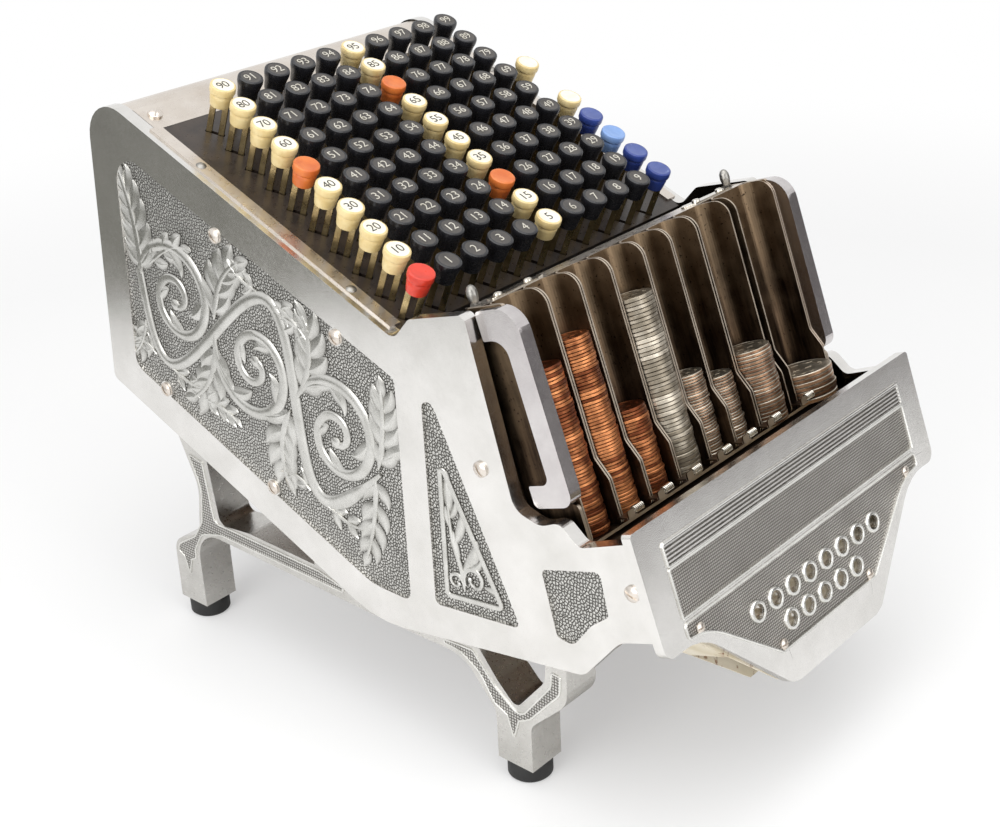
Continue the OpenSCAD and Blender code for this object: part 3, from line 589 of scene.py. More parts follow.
# Dyed casein: an even colour with a soft shine; the blue tops are painted paler as light, with worn spots
ORANGE_CAP = Coated("orange_casein_cap", "#DC7A3A", "#C8632B", "#8F4A23", rough=0.32)
RED_CAP = Coated("red_casein_cap", "#DD4330", "#C23425", "#8A2C20", rough=0.32)
BLUE_CAP = Coated("blue_casein_cap", "#34478F", "#2A3B7C", "#1D2A5C", rough=0.32)
PALE_BLUE_CAP = Coated("pale_blue_casein_cap", "#86A6D8", "#7596CB", "#4F6EA6", rough=0.34)
BLUE_LIT_TOP = Coated("blue_casein_top_painted_light", "#56659F", "#46558F", "#7F8BB4", rough=0.42, worn_mm=4.0,
                  worn_from=0.6)
# Paint filled into engraved figures, matt
PALE_FIGURE = Coated("pale_figure_filling", "#CFCBC0", "#BDB8AB", "#9B968A", rough=0.5)
DARK_FIGURE = Coated("dark_figure_filling", "#26241F", "#322F29", "#4A463D", rough=0.5)


WELD_M = 1e-5
EDGE_STEPS = 3
EDGE_ANGLE = math.radians(40)


def dress(nodes: CadNodes, names: Sequence[str], finish: Finish, edge_mm: float = 0.0) -> None:
    """Give CAD nodes their finish, and round their sharp edges a little.

    Args:
        nodes: The CAD nodes by name.
        names: The nodes to dress.
        finish: The finish for all their faces.
        edge_mm: Width of the rounding, or 0 for none.
    """
    for obj in (nodes[name] for name in names):
        obj.data.materials.clear()
        obj.data.materials.append(material(finish))
        if edge_mm > 0:
            weld = obj.modifiers.new("join_faces", "WELD")
            weld.merge_threshold = WELD_M
            bevel = obj.modifiers.new("rounded_edges", "BEVEL")
            bevel.width = edge_mm * MM
            bevel.segments = EDGE_STEPS
            bevel.limit_method = "ANGLE"
            bevel.angle_limit = EDGE_ANGLE
            bevel.harden_normals = True


# Outlines

ARC_STEP = math.radians(10)
SPAN_STEPS = 8


def rounded(corners: Sequence[Triple]) -> list[Point]:
    """Return an outline with each corner drawn as an arc.

    Args:
        corners: Corners as (u, v, radius).

    Returns:
        The outline's points.
    """
    out: list[Point] = []
    count = len(corners)
    for i, (u, v, radius) in enumerate(corners):
        here = Vector((u, v))
        if radius <= 0:
            out.append((u, v))
            continue
        before = (Vector(corners[i - 1][:2]) - here).normalized()
        after = (Vector(corners[(i + 1) % count][:2]) - here).normalized()
        half = math.acos(max(-1.0, min(1.0, before.dot(after)))) / 2
        middle = here + (before + after).normalized() * (radius / math.sin(half))
        start = here + before * (radius / math.tan(half)) - middle
        end = here + after * (radius / math.tan(half)) - middle
        first = math.atan2(start.y, start.x)
        sweep = (math.atan2(end.y, end.x) - first + math.pi) % (2 * math.pi) - math.pi
        steps = max(2, math.ceil(abs(sweep) / ARC_STEP))
        for k in range(steps + 1):
            angle = first + sweep * k / steps
            out.append((middle.x + radius * math.cos(angle), middle.y + radius * math.sin(angle)))
    return out


def flowing(points: Sequence[Point]) -> list[Point]:
    """Return a smooth open path through given points.

    Args:
        points: The points that it passes.

    Returns:
        The path's points.
    """
    ends = [points[0], *points, points[-1]]
    path: list[Point] = []
    for i in range(1, len(ends) - 2):
        p0, p1, p2, p3 = (Vector(p) for p in ends[i - 1 : i + 3])
        for k in range(SPAN_STEPS):
            t = k / SPAN_STEPS
            p = 0.5 * (2 * p1 + (p2 - p0) * t + (2 * p0 - 5 * p1 + 4 * p2 - p3) * t * t
                       + (3 * p1 - p0 - 3 * p2 + p3) * t ** 3)
            path.append((p.x, p.y))
    path.append(tuple(points[-1]))
    return path


def circle(u: float, v: float, radius: float, steps: int = 24) -> list[Point]:
    """Return a round outline."""
    turn = 2 * math.pi / steps
    return [(u + radius * math.cos(turn * k), v + radius * math.sin(turn * k)) for k in range(steps)]


def oblong(half: float, low: float, high: float) -> list[Point]:
    """Return the corners of a box that lies evenly across the middle."""
    return [(-half, low), (half, low), (half, high), (-half, high)]


# Meshes


class Shape:
    """Collects closed bodies of one piece, in millimetres of a working frame."""

    CHAMFER = 0.2

    def __init__(self) -> None:
        """Start with an empty mesh."""
        self.mesh = bmesh.new()
        self.tone = self.mesh.faces.layers.float.new("tone")

    def loft(self, rings: Sequence[Sequence[Triple]], closed: bool = False) -> None:
        """Add a body through rings of equally many points.

        Args:
            rings: Rings of points in order.
            closed: Whether the last ring joins the first; otherwise both ends are capped.
        """
        rows = [[self.mesh.verts.new(p) for p in ring] for ring in rings]
        faces = []
        for i in range(len(rows) - (0 if closed else 1)):
            faces += self._band(rows[i], rows[(i + 1) % len(rows)])
        if not closed:
            faces += [self.mesh.faces.new(rows[0]), self.mesh.faces.new(rows[-1])]
        self._dress(faces)

    def lathe(self, profile: Sequence[Point], place: Matrix, segments: int = 32,
              finishes: Sequence[int] | int = 0, tone: float = 0.5) -> None:
        """Add a turned body.

        Args:
            profile: Points as (radius, height); the first and last lie on the axis.
            place: Where the axis stands in the working frame.
            segments: Faces round the axis.
            finishes: One index, or one for each step of the profile.
            tone: Value of the tone attribute on its faces.
        """
        rows = []
        for radius, height in profile:
            spots = circle(0.0, 0.0, radius, segments) if radius > 0 else [(0.0, 0.0)]
            rows.append([self.mesh.verts.new(place @ Vector((*p, height))) for p in spots])
        for i in range(len(rows) - 1):
            a, b = rows[i], rows[i + 1]
            faces = []
            for k in range(segments):
                n = (k + 1) % segments
                corners = [a[k % len(a)], a[n % len(a)], b[n % len(b)], b[k % len(b)]]
                faces.append(self.mesh.faces.new(list(dict.fromkeys(corners))))
            self._dress(faces, finishes if isinstance(finishes, int) else finishes[i], tone)

    def slab(self, outlines: Sequence[Sequence[Point]], low: float, high: float, place: Matrix | None = None,
             finish: int = 0, tone: float = 0.5) -> None:
        """Add a flat plate with an outline and holes.

        Args:
            outlines: The outer outline, then any holes.
            low: Height of the underside.
            high: Height of the face.
            place: Where the plate lies in the working frame.
            finish: Index of the finish.
            tone: Value of the tone attribute on its faces.
        """
        at = place or Matrix.Identity(4)
        flat = [[Vector((u, v, 0)) for u, v in line] for line in outlines]
        layers = [[[self.mesh.verts.new(at @ Vector((p.x, p.y, h))) for p in line] for line in flat]
                  for h in (low, high)]
        faces = []
        for layer in layers:
            loose = [v for line in layer for v in line]
            faces += [self.mesh.faces.new([loose[k] for k in tri]) for tri in tessellate_polygon(flat)]
        for under, over in zip(*layers):
            faces += self._band(under, over)
        self._dress(faces, finish, tone)

    def block(self, size: Vector, place: Matrix) -> None:
        """Add a bar with small chamfers along its height.

        Args:
            size: Its width, depth and height.
            place: Where its middle stands in the working frame.
        """
        x, y, z = size / 2
        u, v = x - self.CHAMFER, y - self.CHAMFER
        ring = [(x, v), (u, y), (-u, y), (-x, v), (-x, -v), (-u, -y), (u, -y), (x, -v)]
        self.loft([[tuple(place @ Vector((*p, h))) for p in ring] for h in (-z, z)])

    def _band(self, a: Sequence[BMVert], b: Sequence[BMVert]) -> list[BMFace]:
        """Return new faces between two rings of equally many points."""
        after = [*range(1, len(a)), 0]
        return [self.mesh.faces.new((a[k], a[n], b[n], b[k])) for k, n in enumerate(after)]

    def _dress(self, faces: Sequence[BMFace], finish: int = 0, tone: float = 0.5) -> None:
        """Give new faces their finish, smoothing and tone.

        Args:
            faces: The faces.
            finish: Index of the finish.
            tone: Value of the tone attribute.
        """
        for f in faces:
            f.material_index = finish
            f.smooth = True
            f[self.tone] = tone

    def piece(self, name: str, place: Matrix, finishes: Sequence[Finish], body: str, slot: str,
              crease: float = 34.0) -> Object:
        """Turn the shape into a piece of the object.

        Args:
            name: The piece's name.
            place: From the working frame to row metres.
            finishes: Finishes in the order of their indices.
            body: The CAD body it rides on.
            slot: The record's material slot; not used.
            crease: Edges sharper than this many degrees stay sharp.

        Returns:
            The new object.
        """
        bmesh.ops.transform(self.mesh, matrix=place, verts=self.mesh.verts)
        bmesh.ops.recalc_face_normals(self.mesh, faces=self.mesh.faces)
        for e in self.mesh.edges:
            e.smooth = len(e.link_faces) == 2 and e.calc_face_angle(0.0) < math.radians(crease)
        data = bpy.data.meshes.new(name)
        self.mesh.to_mesh(data)
        self.mesh.free()
        for f in finishes:
            data.materials.append(material(f))
        obj = bpy.data.objects.new(name, data)
        bpy.context.scene.collection.objects.link(obj)
        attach(obj, body)
        LOG.info("%s rides on %s", name, body)
        return obj


# Castings


class Ornament:
    """Raised foliage on a sunk ground, drawn in panel millimetres."""

    FLAT_RING = ((-1.0, -0.2), (-1.0, 0.2), (-0.72, 0.78), (0.0, 1.0), (0.72, 0.78), (1.0, 0.2), (1.0, -0.2))
    LEAF_RING = ((-1.0, -0.2), (-1.0, 0.2), (-0.82, 0.46), (-0.42, 0.6), (-0.1, 1.0), (0.1, 1.0), (0.42, 0.6),
                 (0.82, 0.46), (1.0, 0.2), (1.0, -0.2))
    LEAF_STEPS = 10
    LEAST_HALF = 0.18
    TURN_STEPS = 36
    SPIRAL_EASE = 1.2
    EYE_SIDES = 18
    LEAFLET_OPENING = (58, 22)
    LEAFLET_SLIM = 0.52
    LEAFLET_BEND = 42
    LEAFLET_LOWER = 0.9
    TIP_SIZE = (0.55, 0.3)
    TIP_BEND = 0.25
    RIB_HALVES = (0.1, 0.05)

    def __init__(self, shape: Shape, axis: float = 0.0, origin: Point = (0.0, 0.0), base: float = 0.0,
                 scale: Point = (1.0, 1.0)) -> None:
        """Start an ornament.

        Args:
            shape: The shape that takes the bodies.
            axis: Slope of the band that it runs along, in degrees.
            origin: Where the band starts.
            base: Height of the ground.
            scale: Scale of the paths along and across the band, not of their widths.
        """
        self.shape = shape
        self.scale = scale
        self.turn = math.radians(axis)
        self.origin = origin
        self.base = base

    def spot(self, p: Point) -> Point:
        """Return a band point in panel coordinates.

        Args:
            p: The point, along and across the band.

        Returns:
            The point in the panel.
        """
        c, s = math.cos(self.turn), math.sin(self.turn)
        u, v = p[0] * self.scale[0], p[1] * self.scale[1]
        return (self.origin[0] + u * c - v * s, self.origin[1] + u * s + v * c)

    def sweep(self, path: Sequence[Point], halves: Sequence[float], heights: Sequence[float],
              ring: Sequence[Point] = FLAT_RING, closed: bool = False) -> None:
        """Lay a relief body along a path.

        Args:
            path: Band points.
            halves: Half width at each point.
            heights: Height at each point.
            ring: Cross-section as (share of half width, share of height).
            closed: Whether the path closes.
        """
        points = [Vector(self.spot(p)) for p in path]
        rings: list[list[Triple]] = []
        count = len(points)
        for i, p in enumerate(points):
            a = points[i - 1] if i or closed else p
            b = points[(i + 1) % count] if i < count - 1 or closed else p
            along = (b - a).normalized()
            across = Vector((-along.y, along.x))
            rings.append([(p.x + across.x * k * halves[i], p.y + across.y * k * halves[i],
                           self.base + h * heights[i]) for k, h in ring])
        self.shape.loft(rings, closed)

    def stem(self, path: Sequence[Point], start: float, end: float, height: float = 1.25) -> None:
        """Lay a tapering stem that grows from a fine point.

        Args:
            path: Band points.
            start: Half width near its start.
            end: Half width at its end.
            height: Height of the relief.
        """
        last = len(path) - 1
        halves = [(start + (end - start) * i / last) * min(1.0, 0.3 + i * 0.14) for i in range(len(path))]
        self.sweep(path, halves, [height] * len(path))

    def volute(self, centre: Point, start: float, turns: float, outer: float, inner: float, width: float,
               hand: int) -> None:
        """Lay a spiral that ends in a round eye.

        Args:
            centre: Middle of the spiral.
            start: Angle where it begins, in degrees.
            turns: Turns inwards.
            outer: First radius.
            inner: Last radius.
            width: Half width at its start.
            hand: 1 for anticlockwise, -1 for clockwise.
        """
        steps = int(self.TURN_STEPS * turns)
        path = []
        for i in range(steps + 1):
            t = i / steps
            radius = inner + (outer - inner) * (1 - t) ** self.SPIRAL_EASE
            angle = math.radians(start) + hand * 2 * math.pi * turns * t
            path.append((centre[0] + radius * math.cos(angle), centre[1] + radius * math.sin(angle)))
        self.stem(path, width, width * 0.5)
        eye = width * 0.85
        dome = [(0.0, 1.5), (0.5 * eye, 1.4), (0.9 * eye, 0.9), (eye, 0.0), (0.0, -0.1)]
        self.shape.lathe(dome, Matrix.Translation((*self.spot(path[-1]), self.base)), self.EYE_SIDES)

    def leaf(self, base: Point, heading: float, length: float, width: float, bend: float,
             height: float = 1.3) -> None:
        """Lay one pointed leaf that curls along its length.

        Args:
            base: Where it springs from.
            heading: First direction, in degrees.
            length: Length along the rib.
            width: Greatest width.
            bend: Turn of the rib from base to tip, in degrees.
            height: Height of the relief.
        """
        path, halves, heights = [], [], []
        u, v = base
        stride = length / self.LEAF_STEPS
        for i in range(self.LEAF_STEPS + 1):
            t = i / self.LEAF_STEPS
            path.append((u, v))
            swell = math.sin(math.pi * (0.12 + 0.86 * t)) ** 0.8
            halves.append(max(self.LEAST_HALF, width / 2 * swell))
            heights.append(height * (0.7 + 0.3 * math.sin(math.pi * t)))
            angle = math.radians(heading + bend * t ** 1.4)
            u += stride * math.cos(angle)
            v += stride * math.sin(angle)
        self.sweep(path, halves, heights, self.LEAF_RING)

    def frond(self, base: Point, heading: float, length: float, width: float, bend: float, pairs: int,
              height: float = 1.28) -> None:
        """Lay an acanthus frond: a curved rib with pairs of leaflets and a pointed tip.

        Args:
            base: Where it springs from.
            heading: First direction, in degrees.
            length: Length along the rib.
            width: Greatest width over the leaflets.
            bend: Turn of the rib from base to tip, in degrees.
            pairs: Pairs of leaflets.
            height: Height of the relief.
        """
        steps = 6 * (pairs + 1)
        path = [base]
        angles = [heading]
        for i in range(steps):
            angles.append(heading + bend * ((i + 1) / steps) ** 1.2)
            turn = math.radians(angles[-1])
            u, v = path[-1]
            path.append((u + length / steps * math.cos(turn), v + length / steps * math.sin(turn)))
        low = height * self.LEAFLET_LOWER
        open_at, closing = self.LEAFLET_OPENING
        for k in range(pairs):
            t = (k + 0.6) / (pairs + 0.8)
            knot = int(t * steps)
            size = width * (0.5 + 0.32 * math.sin(math.pi * (0.2 + 0.75 * t)))
            for side in SIDES:
                self.leaf(path[knot], angles[knot] + side * (open_at - closing * t), size,
                          size * self.LEAFLET_SLIM, -side * self.LEAFLET_BEND, low)
        tip = [width * share for share in self.TIP_SIZE]
        self.leaf(path[-4], angles[-1], *tip, bend * self.TIP_BEND, low)
        self.stem(path, *(width * share for share in self.RIB_HALVES), height)

    def bead(self, outline: Sequence[Point], half: float, height: float) -> None:
        """Lay a raised border along a closed outline."""
        self.sweep(outline, [half] * len(outline), [height] * len(outline), closed=True)


def key_point(y: float, z: float) -> Point:
    """Return a key-frame point in the side view."""
    return (y * math.cos(SLOPE) - z * math.sin(SLOPE),
            MACHINE.key_field_z + y * math.sin(SLOPE) + z * math.cos(SLOPE))


def tray_point(y: float, z: float) -> Point:
    """Return a tray-frame point in the side view."""
    return (MACHINE.tray_y + y * math.cos(LEAN) + z * math.sin(LEAN),
            MACHINE.tray_z - y * math.sin(LEAN) + z * math.cos(LEAN))


@dataclass
class SideCasting:
    """One side plate with its stand: grounds, foliage and borders."""

    sign: int
    ground_t: float = 0.25
    belly: Point = (-40.0, 57.5)
    rear_low: Point = (152.6, 138.0)
    band_slope: float = 21.8
    band_start: Point = (-53.0, 140.5)
    band_scale: Point = (0.88, 0.95)
    stem_start: float = 4.0
    stem_steps: int = 60
    scroll_pitch: float = 68.0
    scroll_first: float = 38.0
    scroll_r: float = 33.0
    scroll_eye: float = 3.5
    scroll_turns: float = 1.75
    wave: float = 43.0
    stand_bead: Point = (0.6, 0.6)
    stand_ground: Point = (-0.05, 0.2)

    @property
    def tag(self) -> str:
        """Return left or right."""
        return "left" if self.sign < 0 else "right"

    def panels(self) -> list[list[Point]]:
        """Return the outlines of the three sunk panels.

        Returns:
            The main panel, the three-cornered one and the shield.
        """
        (by, bz), (ry, rz) = self.belly, self.rear_low
        rise = -MACHINE.key_rise
        main = [(*key_point(113, rise - 20), 14), (ry - 22, rz + 12.5, 8), (by + 2, bz + 21, 30),
                (by - 24.5, bz + 21, 5), (*key_point(-89.5, rise - 19), 4)]
        wedge = [(*tray_point(53.6, 88), 4), (by - 41, bz + 26, 3), (by - 94, bz + 33, 3)]
        shield = [(16.4, -6.8, 3), (-17.8, -7.6, 3), (-15, -28.6, 2), (-3.5, -33, 9), (11, -43, 6),
                  (19.4, -39.5, 3)]
        return [rounded(main), rounded(wedge), rounded([(*tray_point(y, z), r) for y, z, r in shield])]

    def build(self, nodes: CadNodes) -> None:
        """Dress the side plate and its stand.

        Args:
            nodes: The CAD nodes by name.
        """
        dress(nodes, [f"side_plate_{self.tag}"], CAST, 0.9)
        dress(nodes, [f"stand_{self.tag}"], STAND, 0.7)
        self._grounds()
        self._foliage()
        self._wedge_foliage()
        self._stand()

    def _cast(self, shape: Shape, name: str, finish: Finish, depth: float) -> None:
        """Set a cast piece of this side on its ground, which lies at a depth below the outer face."""
        shape.piece(f"{name}_{self.tag}", MACHINE.side(self.sign, depth), [finish], "frame", "cast")

    def _grounds(self) -> None:
        """Line the sunk panels with their punched ground."""
        shape = Shape()
        for outline in self.panels():
            shape.slab([outline], 0.0, self.ground_t)
        self._cast(shape, "panel_ground", PEBBLED, MACHINE.panel_depth)

    def _foliage(self) -> None:
        """Lay a running scroll of acanthus over the main panel."""
        shape = Shape()
        art = Ornament(shape, self.band_slope, self.band_start, self.ground_t, self.band_scale)
        first, pitch, wave = self.scroll_first, self.scroll_pitch, self.wave
        last = first + 2 * pitch
        stem = []
        for k in range(self.stem_steps + 1):
            s = self.stem_start + (last + 0.5 * pitch - self.stem_start) * k / self.stem_steps
            stem.append((s, -wave * math.cos(math.pi * (s - first) / pitch)))
        art.stem(stem, 4.2, 3.0, 1.3)
        for k, hand in enumerate((1, -1, 1)):
            self._scroll(art, first + k * pitch, hand)
        for k, hand in enumerate((1, -1)):
            knot = first + (k + 0.5) * pitch
            for side in SIDES:
                rise = -side * hand
                art.frond((knot + side * 2, rise * 8), rise * 90 + hand * 14, 46, 24, hand * -58, 4)
                art.leaf((knot + side * 3, rise * 10), rise * 90 + hand * 38, 27, 8, hand * 46)
        art.leaf((4, 10), 118, 24, 8, 36)
        for sprig in (((6, 2), 84, 46, 22, -20, 4), ((7, -3), 250, 54, 20, 22, 4),
                      ((last - 34, -46), 158, 30, 15, 30, 3), ((first + 34, 46), 338, 30, 15, 30, 3),
                      ((last + 31, -2), 70, 58, 25, -24, 5), ((last + 25, 8), 116, 38, 17, 40, 3),
                      ((last + 22, -28), 262, 28, 16, 40, 3)):
            art.frond(*sprig)
        self._cast(shape, "panel_foliage", FOLIAGE, MACHINE.panel_depth)

    def _scroll(self, art: Ornament, mid: float, hand: int) -> None:
        """Lay one scroll with leaves along its inside and two sprigs at its foot.

        Args:
            art: The ornament that it is part of.
            mid: Its middle along the band.
            hand: 1 for anticlockwise, -1 for clockwise.
        """
        art.volute((mid, 0.0), 0.0, self.scroll_turns, self.scroll_r + 1.0, self.scroll_eye, 3.8, hand)
        for step, reach, broad in ((60, 20, 8), (150, 19, 8), (240, 16, 7), (330, 12, 6)):
            inwards = (1 - step / (360 * self.scroll_turns)) ** art.SPIRAL_EASE
            r = self.scroll_eye + (self.scroll_r - 2.5) * inwards - 1.0
            a = math.radians(hand * step)
            spot = (mid + r * math.cos(a), r * math.sin(a))
            art.leaf(spot, hand * (step + 128), reach, broad, hand * 62)
        foot = hand * -(self.wave + 1)
        art.frond((mid - 6, foot), 180 + hand * 8, 27, 14, hand * -34, 2)
        art.frond((mid + 9, foot), hand * 16, 26, 13, hand * -52, 2)

    def _wedge_foliage(self) -> None:
        """Lay a bordered spray of leaves in the three-cornered panel."""
        shape = Shape()
        art = Ornament(shape, origin=self.belly, base=self.ground_t)
        art.bead(rounded([(-48.5, 104, 1.5), (-48.5, 33.5, 2), (-83, 38.5, 2)]), 1.5, 1.25)
        art.stem(flowing([(-60, 40), (-58, 52), (-54, 64), (-52.5, 82)]), 1.7, 0.8, 1.2)
        art.volute((-66.5, 47.5), -40.0, 1.1, 7.0, 3.0, 1.6, 1)
        art.volute((-54.6, 43.2), 200.0, 1.0, 4.8, 2.2, 1.3, -1)
        for leaf in (((-60, 51), 132, 21, 6.5, -44, 1.25), ((-62, 52), 158, 12, 5, -50, 1.25),
                     ((-73, 46), 190, 8, 4, -30, 1.2), ((-57, 56), 66, 14, 5, 40, 1.25),
                     ((-55.4, 64), 118, 20, 5.5, -36, 1.25), ((-53.4, 70), 62, 12, 4.2, 40, 1.2),
                     ((-52.4, 79), 92, 21, 6.0, -4, 1.3), ((-53.0, 76), 126, 11, 4, -38, 1.2)):
            art.leaf(*leaf)
        self._cast(shape, "wedge_foliage", FOLIAGE, MACHINE.panel_depth)

    def _stand(self) -> None:
        """Lay the punched ground and its border along the stand."""
        rear = [(88.3, 104.5, 1), (84.2, 69.2, 4), (70, 69.6, 20), (4, 69.5, 2), (-14, 66, 1), (-14, 63.2, 1),
                (80, 63.2, 10), (97, 58, 10), (104.5, 46, 8), (105.2, 40, 0), (109.5, 37.5, 1),
                (112.5, 27, 0.5), (115.5, 37.5, 1), (119.8, 40, 0), (118.8, 44.5, 6), (103, 54.5, 8),
                (95.2, 66, 12), (91.5, 88, 18), (99, 106.5, 1)]
        fore = [(-80, 61.6, 1), (-93, 61.2, 12), (-105.5, 53.5, 12), (-113.6, 40, 6), (-117.6, 38.5, 1),
                (-121.5, 36.5, 1), (-125, 25, 0.5), (-128.5, 36.5, 1), (-132.4, 38.5, 1), (-136, 41, 4),
                (-147, 54, 8), (-154, 62, 8), (-154.6, 72, 1), (-149.5, 72.2, 1), (-149, 64.4, 6),
                (-129.5, 38.6, 6), (-114, 50, 6), (-101.2, 64.8, 2), (-84, 63.6, 1)]
        ground, border = Shape(), Shape()
        for corners in (rear, fore):
            outline = rounded(corners)
            ground.slab([outline], *self.stand_ground)
            Ornament(border).bead(outline, *self.stand_bead)
        self._cast(ground, "stand_ground", STAND_DOTS, MACHINE.stand_step)
        self._cast(border, "stand_border", RELIEF, MACHINE.stand_step)


@dataclass
class FrontPlate:
    """The cast front plate: grounds, borders and eyelet rings, with heights down from its top edge."""

    half: float = 113.5
    low: float = -96.0
    inset: float = 16.5
    reeds: Point = (21.6, 11.4)
    band: Point = (45.5, 23.0)
    field_top: float = 48.0
    shoulder: Triple = (13.0, 7.5, 34.0)
    foot: Point = (40.0, 17.0)
    corner_r: float = 2.0
    eyelet_rows: tuple[tuple[int, float], ...] = ((8, 64.7), (5, 78.1))
    eyelet_pitch: float = 14.1
    eyelet_hole: float = 7.0
    eyelet_rim: float = 10.0
    ring_sides: int = 28
    ground_t: float = 0.2
    groove_t: float = 0.12
    groove_draw: float = 0.995
    groove_r: float = 0.8
    band_r: float = 0.6
    reed_r: float = 1.2
    bead: Point = (0.8, 1.7)
    reed_bead: Point = (0.8, 0.9)

    def build(self, nodes: CadNodes) -> None:
        """Dress the front plate and hopper.

        Args:
            nodes: The CAD nodes by name.
        """
        dress(nodes, ["front_plate"], CAST, 0.5)
        dress(nodes, ["hopper"], CREAM)
        top, wide = MACHINE.front_top, self.half - self.inset
        band, reeds = (oblong(wide, top - low, top - high) for low, high in (self.band, self.reeds))
        eyelets = [((i - (count - 1) / 2) * self.eyelet_pitch, top - down)
                   for count, down in self.eyelet_rows for i in range(count)]
        sunk = self._field(wide)
        ground, grooves, trim = Shape(), Shape(), Shape()
        ground.slab([band], 0.0, self.ground_t)
        holes = [circle(*spot, self.eyelet_rim / 2)[::-1] for spot in eyelets]
        ground.slab([sunk, *holes], 0.0, self.ground_t)
        inner = [(u * self.groove_draw, v, self.groove_r) for u, v in reeds]
        grooves.slab([rounded(inner)], 0.0, self.groove_t)
        art = Ornament(trim)
        art.bead(rounded([(u, v, self.band_r) for u, v in band]), *self.bead)
        art.bead(sunk, *self.bead)
        raised = Ornament(trim, base=MACHINE.front_relief)
        raised.bead(rounded([(u, v, self.reed_r) for u, v in reeds]), *self.reed_bead)
        for spot in eyelets:
            self._eyelet(trim, *spot)
        place = MACHINE.front(MACHINE.front_relief)
        ground.piece("front_ground", place, [DOTTED], "frame", "cast")
        grooves.piece("reeded_grooves", MACHINE.front(0.0), [PATINA], "frame", "cast")
        trim.piece("front_borders", place, [RELIEF], "frame", "cast")

    def _field(self, wide: float) -> list[Point]:
        """Return the outline of the lower sunk field.

        Args:
            wide: Half its width at the top.

        Returns:
            The outline's points.
        """
        high, r = MACHINE.front_top - self.field_top, self.corner_r
        inwards, down, bow = self.shoulder
        half = [(wide, high, r), (wide, high - down + 0.5, r), (wide - inwards, high - down, bow),
                (self.foot[0], self.low + self.foot[1], r)]
        return rounded([(-u, v, radius) for u, v, radius in half] + half[::-1])

    def _eyelet(self, shape: Shape, u: float, v: float) -> None:
        """Add the rolled ring of one eyelet.

        Args:
            shape: The shape that takes the ring.
            u: Its middle across the plate.
            v: Its middle up the plate.
        """
        hole, rim = self.eyelet_hole / 2, self.eyelet_rim / 2
        ring = [(hole, 0.1), (hole + 0.1, 1.6), (hole + 0.5, 1.9), (rim - 0.1, 1.8), (rim + 0.4, 1.1),
                (rim + 0.5, 0.1)]
        turned = [circle(u, v, r, self.ring_sides) for r, _ in ring]
        rings = [[(*line[k], h) for line, (_, h) in zip(turned, ring)] for k in range(self.ring_sides)]
        shape.loft(rings, closed=True)


# Keys

# Radius and depth within which a cap's profile counts as its dished top
DISH_R = 5.5
DISH_LOW = -0.9


class CapKind(Enum):
    """Colours of the key caps, each with the finish indices of its side and its top; the ivory sides take
    painted shade, and the black, ivory and blue tops painted light.
    """

    BLACK = (0, 6)
    IVORY = (1, 7)
    ORANGE = (2, 2)
    RED = (3, 3)
    BLUE = (4, 8)
    PALE_BLUE = (5, 5)

    def steps(self, profile: Sequence[Point]) -> list[int]:
        """Tell the dished top of a cap's profile from its side.

        Args:
            profile: Points as (radius, height), from the top.

        Returns:
            The finish index of each step.
        """
        side, top = self.value
        return [top if max(a[0], b[0]) < DISH_R and a[1] > DISH_LOW else side
                for a, b in zip(profile, profile[1:])]


@dataclass
class FigureStamp:
    """Flat figures for the key tops, cut once for each number."""

    height: float
    thick: float = 0.12
    sunk: float = -0.42
    proud: float = 0.06
    font_scale: float = 1.35
    spacing: float = 0.94
    curve_steps: int = 3
    thinning: float = -0.06
    cut: dict[str, tuple[list[Vector], list[tuple[int, ...]]]] = field(default_factory=dict)

    def outline(self, text: str) -> tuple[list[Vector], list[tuple[int, ...]]]:
        """Cut a number, centred, in millimetres.

        Args:
            text: The number.

        Returns:
            Its points and faces.
        """
        if text not in self.cut:
            curve = bpy.data.curves.new("figure", "FONT")
            curve.body = text
            curve.align_x = "CENTER"
            curve.align_y = "CENTER"
            curve.size = self.height * self.font_scale
            curve.space_character = self.spacing
            curve.offset = self.thinning
            curve.resolution_u = self.curve_steps
            curve.extrude = self.thick
            obj = bpy.data.objects.new("figure", curve)
            bpy.context.scene.collection.objects.link(obj)
            mesh = obj.evaluated_get(bpy.context.evaluated_depsgraph_get()).to_mesh()
            points = [v.co.copy() for v in mesh.vertices]
            self.cut[text] = (points, [tuple(p.vertices) for p in mesh.polygons])
            bpy.data.objects.remove(obj)
            bpy.data.curves.remove(curve)
        return self.cut[text]

    def stamp(self, shape: Shape, text: str, at: Matrix) -> None:
        """Set a number on a key top.

        Args:
            shape: The shape that takes the figures.
            text: The number.
            at: Where the key stands.
        """
        points, faces = self.outline(text)
        lift = at @ Matrix.Translation((0.0, 0.0, self.sunk + self.thick + self.proud))
        verts = [shape.mesh.verts.new(lift @ p) for p in points]
        for f in faces:
            shape.mesh.faces.new([verts[k] for k in f])


